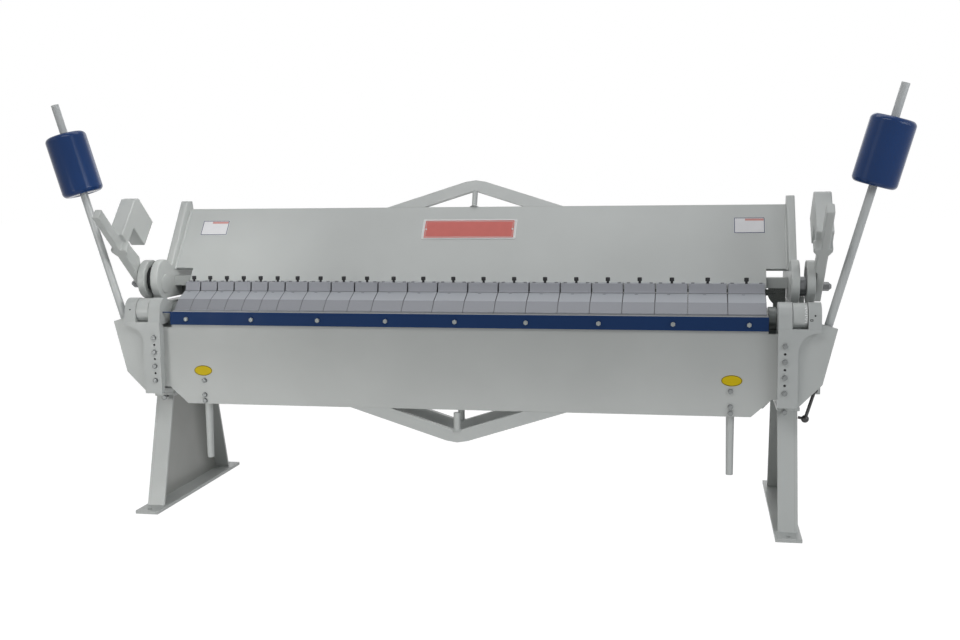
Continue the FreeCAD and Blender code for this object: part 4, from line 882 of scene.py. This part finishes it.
DARK_MARK_WIDTH, DARK_MARK_HEIGHT = 12 * MM, 2.6 * MM
DARK_MARK_LEFT, DARK_MARK_DOWN = 12 * MM, 9 * MM
SHADE_SHEET_THICKNESS = 1.5 * MM
SHADE_SHEET_GAP = 0.3 * MM
SHADE_SHEET_END = 3 * MM


def make_finger_marks(bm):
    """A short dark line under each block, a little left of its middle."""
    y = SHOE_TOP_Y - DARK_MARK_DOWN * math.cos(SHOE_SLOPE)
    z = SHOE_TOP_Z - DARK_MARK_DOWN * math.sin(SHOE_SLOPE)
    outline = rounded_outline(DARK_MARK_WIDTH, DARK_MARK_HEIGHT, 0.5 * MM, 2)
    for node in FINGERS:
        low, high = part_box(node)
        x = (low.x + high.x) / 2 - DARK_MARK_LEFT
        spot = Matrix.Translation((x, y, z)) @ Matrix.Rotation(SHOE_SLOPE, 4, "X")
        slab(bm, outline, -0.2 * MM, 0.25 * MM, spot)


def make_gap_shade_sheet(bm):
    """Painted shade: a dark sheet in the leaf's plane that runs down to the shoes just behind the blocks.
    """
    z0, z1 = SHOE_TOP_Z + SHADE_SHEET_GAP, LEAF_LOW.z + 1 * MM
    y0, y1 = [LEAF_LOW.y + (z - LEAF_LOW.z) * math.tan(LEAF_LEAN) + SHADE_SHEET_GAP for z in (z0, z1)]
    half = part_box(FINGERS[-1])[1].x - SHADE_SHEET_END
    skin(bm, [[(x, y0, z0), (x, y1, z1), (x, y1 + SHADE_SHEET_THICKNESS, z1), (x, y0 + SHADE_SHEET_THICKNESS, z0)]
              for x in (-half, half)])


piece("finger_marks", "top_leaf", "finger_steel", BLACK_OXIDE, make_finger_marks)
# Painted shade: a dark sheet behind the clamp blocks, which shows between them.
piece("gap_shade_sheet", "top_leaf", "machine_paint", OILED_STEEL, make_gap_shade_sheet)


# A slim strip that carries the blade's top edge on to the left-hand hinge ear

STRIP_HEIGHT, STRIP_THICKNESS = 8 * MM, 4 * MM


def make_blade_strip(bm):
    """Runs from the blade's left end to just inside the face of the ear."""
    end = -EAR_FACE_X - 0.5 * MM
    spot = Matrix.Translation(((BLADE_LOW.x + end) / 2, BLADE_LOW.y + STRIP_THICKNESS,
                               BLADE_HIGH.z - STRIP_HEIGHT / 2))
    outline = rounded_outline(BLADE_LOW.x - end, STRIP_HEIGHT, 0.6 * MM, 2)
    slab(bm, outline, 0, STRIP_THICKNESS, spot, 0.4 * MM)


piece("blade_strip", "apron", "blade_paint", NAVY_PAINT, make_blade_strip)


# Stage and world

FLOOR_SIZE = 80
FLOOR_DROP = 0.5 * MM
FLOOR_GLOW, GLOW_SHARE = 1.17, 0.86
WORLD_STRENGTH = 0.03


def white_rays(tree):
    """Is 1 for the rays that show the white background: camera, glossy and transmission rays."""
    rays = add_node(tree, "ShaderNodeLightPath").outputs
    first = calculate(tree, "MAXIMUM", rays["Is Camera Ray"], rays["Is Glossy Ray"])
    return calculate(tree, "MAXIMUM", first, rays["Is Transmission Ray"])


def mix_shaders(tree, factor, first, second):
    mix = add_node(tree, "ShaderNodeMixShader")
    for socket, node_output in zip(mix.inputs, (factor, first.outputs[0], second.outputs[0])):
        tree.links.new(node_output, socket)
    return mix.outputs[0]


def make_stage():
    """A matt floor that looks white to the camera and in reflections, and keeps a faint shadow."""
    material = bpy.data.materials.new("pale_floor")
    material.use_nodes = True
    tree = material.node_tree
    tree.nodes.clear()
    output = add_node(tree, "ShaderNodeOutputMaterial")
    matt = add_node(tree, "ShaderNodeBsdfDiffuse", Color=(0.80, 0.80, 0.80, 1))
    glow = add_node(tree, "ShaderNodeEmission", Color=(1, 1, 1, 1), Strength=FLOOR_GLOW)
    share = calculate(tree, "MULTIPLY", white_rays(tree), GLOW_SHARE)
    tree.links.new(mix_shaders(tree, share, matt, glow), output.inputs[0])
    bpy.ops.mesh.primitive_plane_add(size=FLOOR_SIZE, location=(0, 0, -FLOOR_DROP))
    floor = bpy.context.object
    floor.name = "floor"
    floor.data.materials.append(material)


def make_world():
    world = bpy.data.worlds.new("studio")
    bpy.context.scene.world = world
    world.use_nodes = True
    tree = world.node_tree
    light = tree.nodes["Background"]
    light.inputs["Color"].default_value = (0.97, 0.985, 1.0, 1)
    light.inputs["Strength"].default_value = WORLD_STRENGTH
    white = add_node(tree, "ShaderNodeBackground", Color=(1, 1, 1, 1), Strength=1.0)
    tree.links.new(mix_shaders(tree, white_rays(tree), light, white), tree.nodes["World Output"].inputs[0])


# Lamps and camera

WHITE = (1, 1, 1)
WARM_WHITE = (1.0, 0.99, 0.96)
COOL_WHITE = (0.94, 0.97, 1.0)
FLOOR_WHITE = (1.0, 1.0, 0.98)

CAMERA_PLACE = (0.946, -4.7665, 1.339)
CAMERA_YAW, CAMERA_PITCH, CAMERA_ROLL = math.radians(10.77), math.radians(-6.48), math.radians(-0.66)
CAMERA_LENS, CAMERA_SENSOR = 43.08, 36.0
CAMERA_SHIFT_X, CAMERA_SHIFT_Y = 0.00125, -0.0023
CAMERA_REACH = 200


def area_light(name, place, target, size, power, colour=WHITE, spread=180):
    """A rectangular lamp at a place, aimed at a target; the size is its width and its height."""
    lamp = bpy.data.lights.new(name, "AREA")
    lamp.shape = "RECTANGLE"
    lamp.size, lamp.size_y = size
    lamp.energy = power
    lamp.color = colour
    lamp.spread = math.radians(spread)
    item = bpy.data.objects.new(name, lamp)
    item.location = place
    item.rotation_euler = (Vector(target) - Vector(place)).to_track_quat("-Z", "Y").to_euler()
    item.visible_camera = False
    bpy.context.scene.collection.objects.link(item)


def make_lamps():
    area_light("over", (-0.45, -2.7, 3.6), (-0.05, 0, 0.9), (3.0, 1.2), 42)
    area_light("left", (-4.6, -3.6, 2.6), (-0.4, 0, 0.8), (2.4, 2.4), 10, WARM_WHITE)
    area_light("right", (4.6, -3.4, 2.6), (0.4, 0, 0.8), (2.4, 2.4), 50, COOL_WHITE)
    area_light("top", (0, 0.4, 4.6), (0, 0, 0.8), (5.0, 2.0), 68)
    area_light("rear", (0.4, 4.6, 3.2), (0, 0.1, 1.0), (3.0, 2.0), 5, spread=70)
    area_light("side", (3.2, -1.1, 1.9), (-1.3, -0.1, 1.1), (1.2, 1.2), 8)
    area_light("inner_left", (-0.45, -0.75, 1.45), (-1.32, -0.12, 1.08), (0.5, 0.4), 0.55, WARM_WHITE, 60)
    area_light("left_leg", (-2.6, -3.6, 0.7), (-1.3, -0.3, 0.3), (1.0, 0.6), 2.8, FLOOR_WHITE, 60)
    area_light("floor_bounce", (0, -1.0, 0.04), (0, -0.35, 0.6), (4.0, 0.5), 6.5, FLOOR_WHITE)


def make_camera():
    """The photograph's viewpoint: seen from the front, a little from the right and above."""
    camera = bpy.data.cameras.new("camera")
    camera.sensor_width = CAMERA_SENSOR
    camera.lens = CAMERA_LENS
    camera.shift_x, camera.shift_y = CAMERA_SHIFT_X, CAMERA_SHIFT_Y
    camera.clip_end = CAMERA_REACH
    item = bpy.data.objects.new("camera", camera)
    turn = (Matrix.Rotation(CAMERA_YAW, 4, "Z") @ Matrix.Rotation(math.radians(90) + CAMERA_PITCH, 4, "X")
            @ Matrix.Rotation(CAMERA_ROLL, 4, "Z"))
    item.matrix_world = Matrix.Translation(CAMERA_PLACE) @ turn
    bpy.context.scene.collection.objects.link(item)
    bpy.context.scene.camera = item


make_stage()
make_world()
make_lamps()
make_camera()
bpy.context.scene.view_settings.view_transform = "Standard"
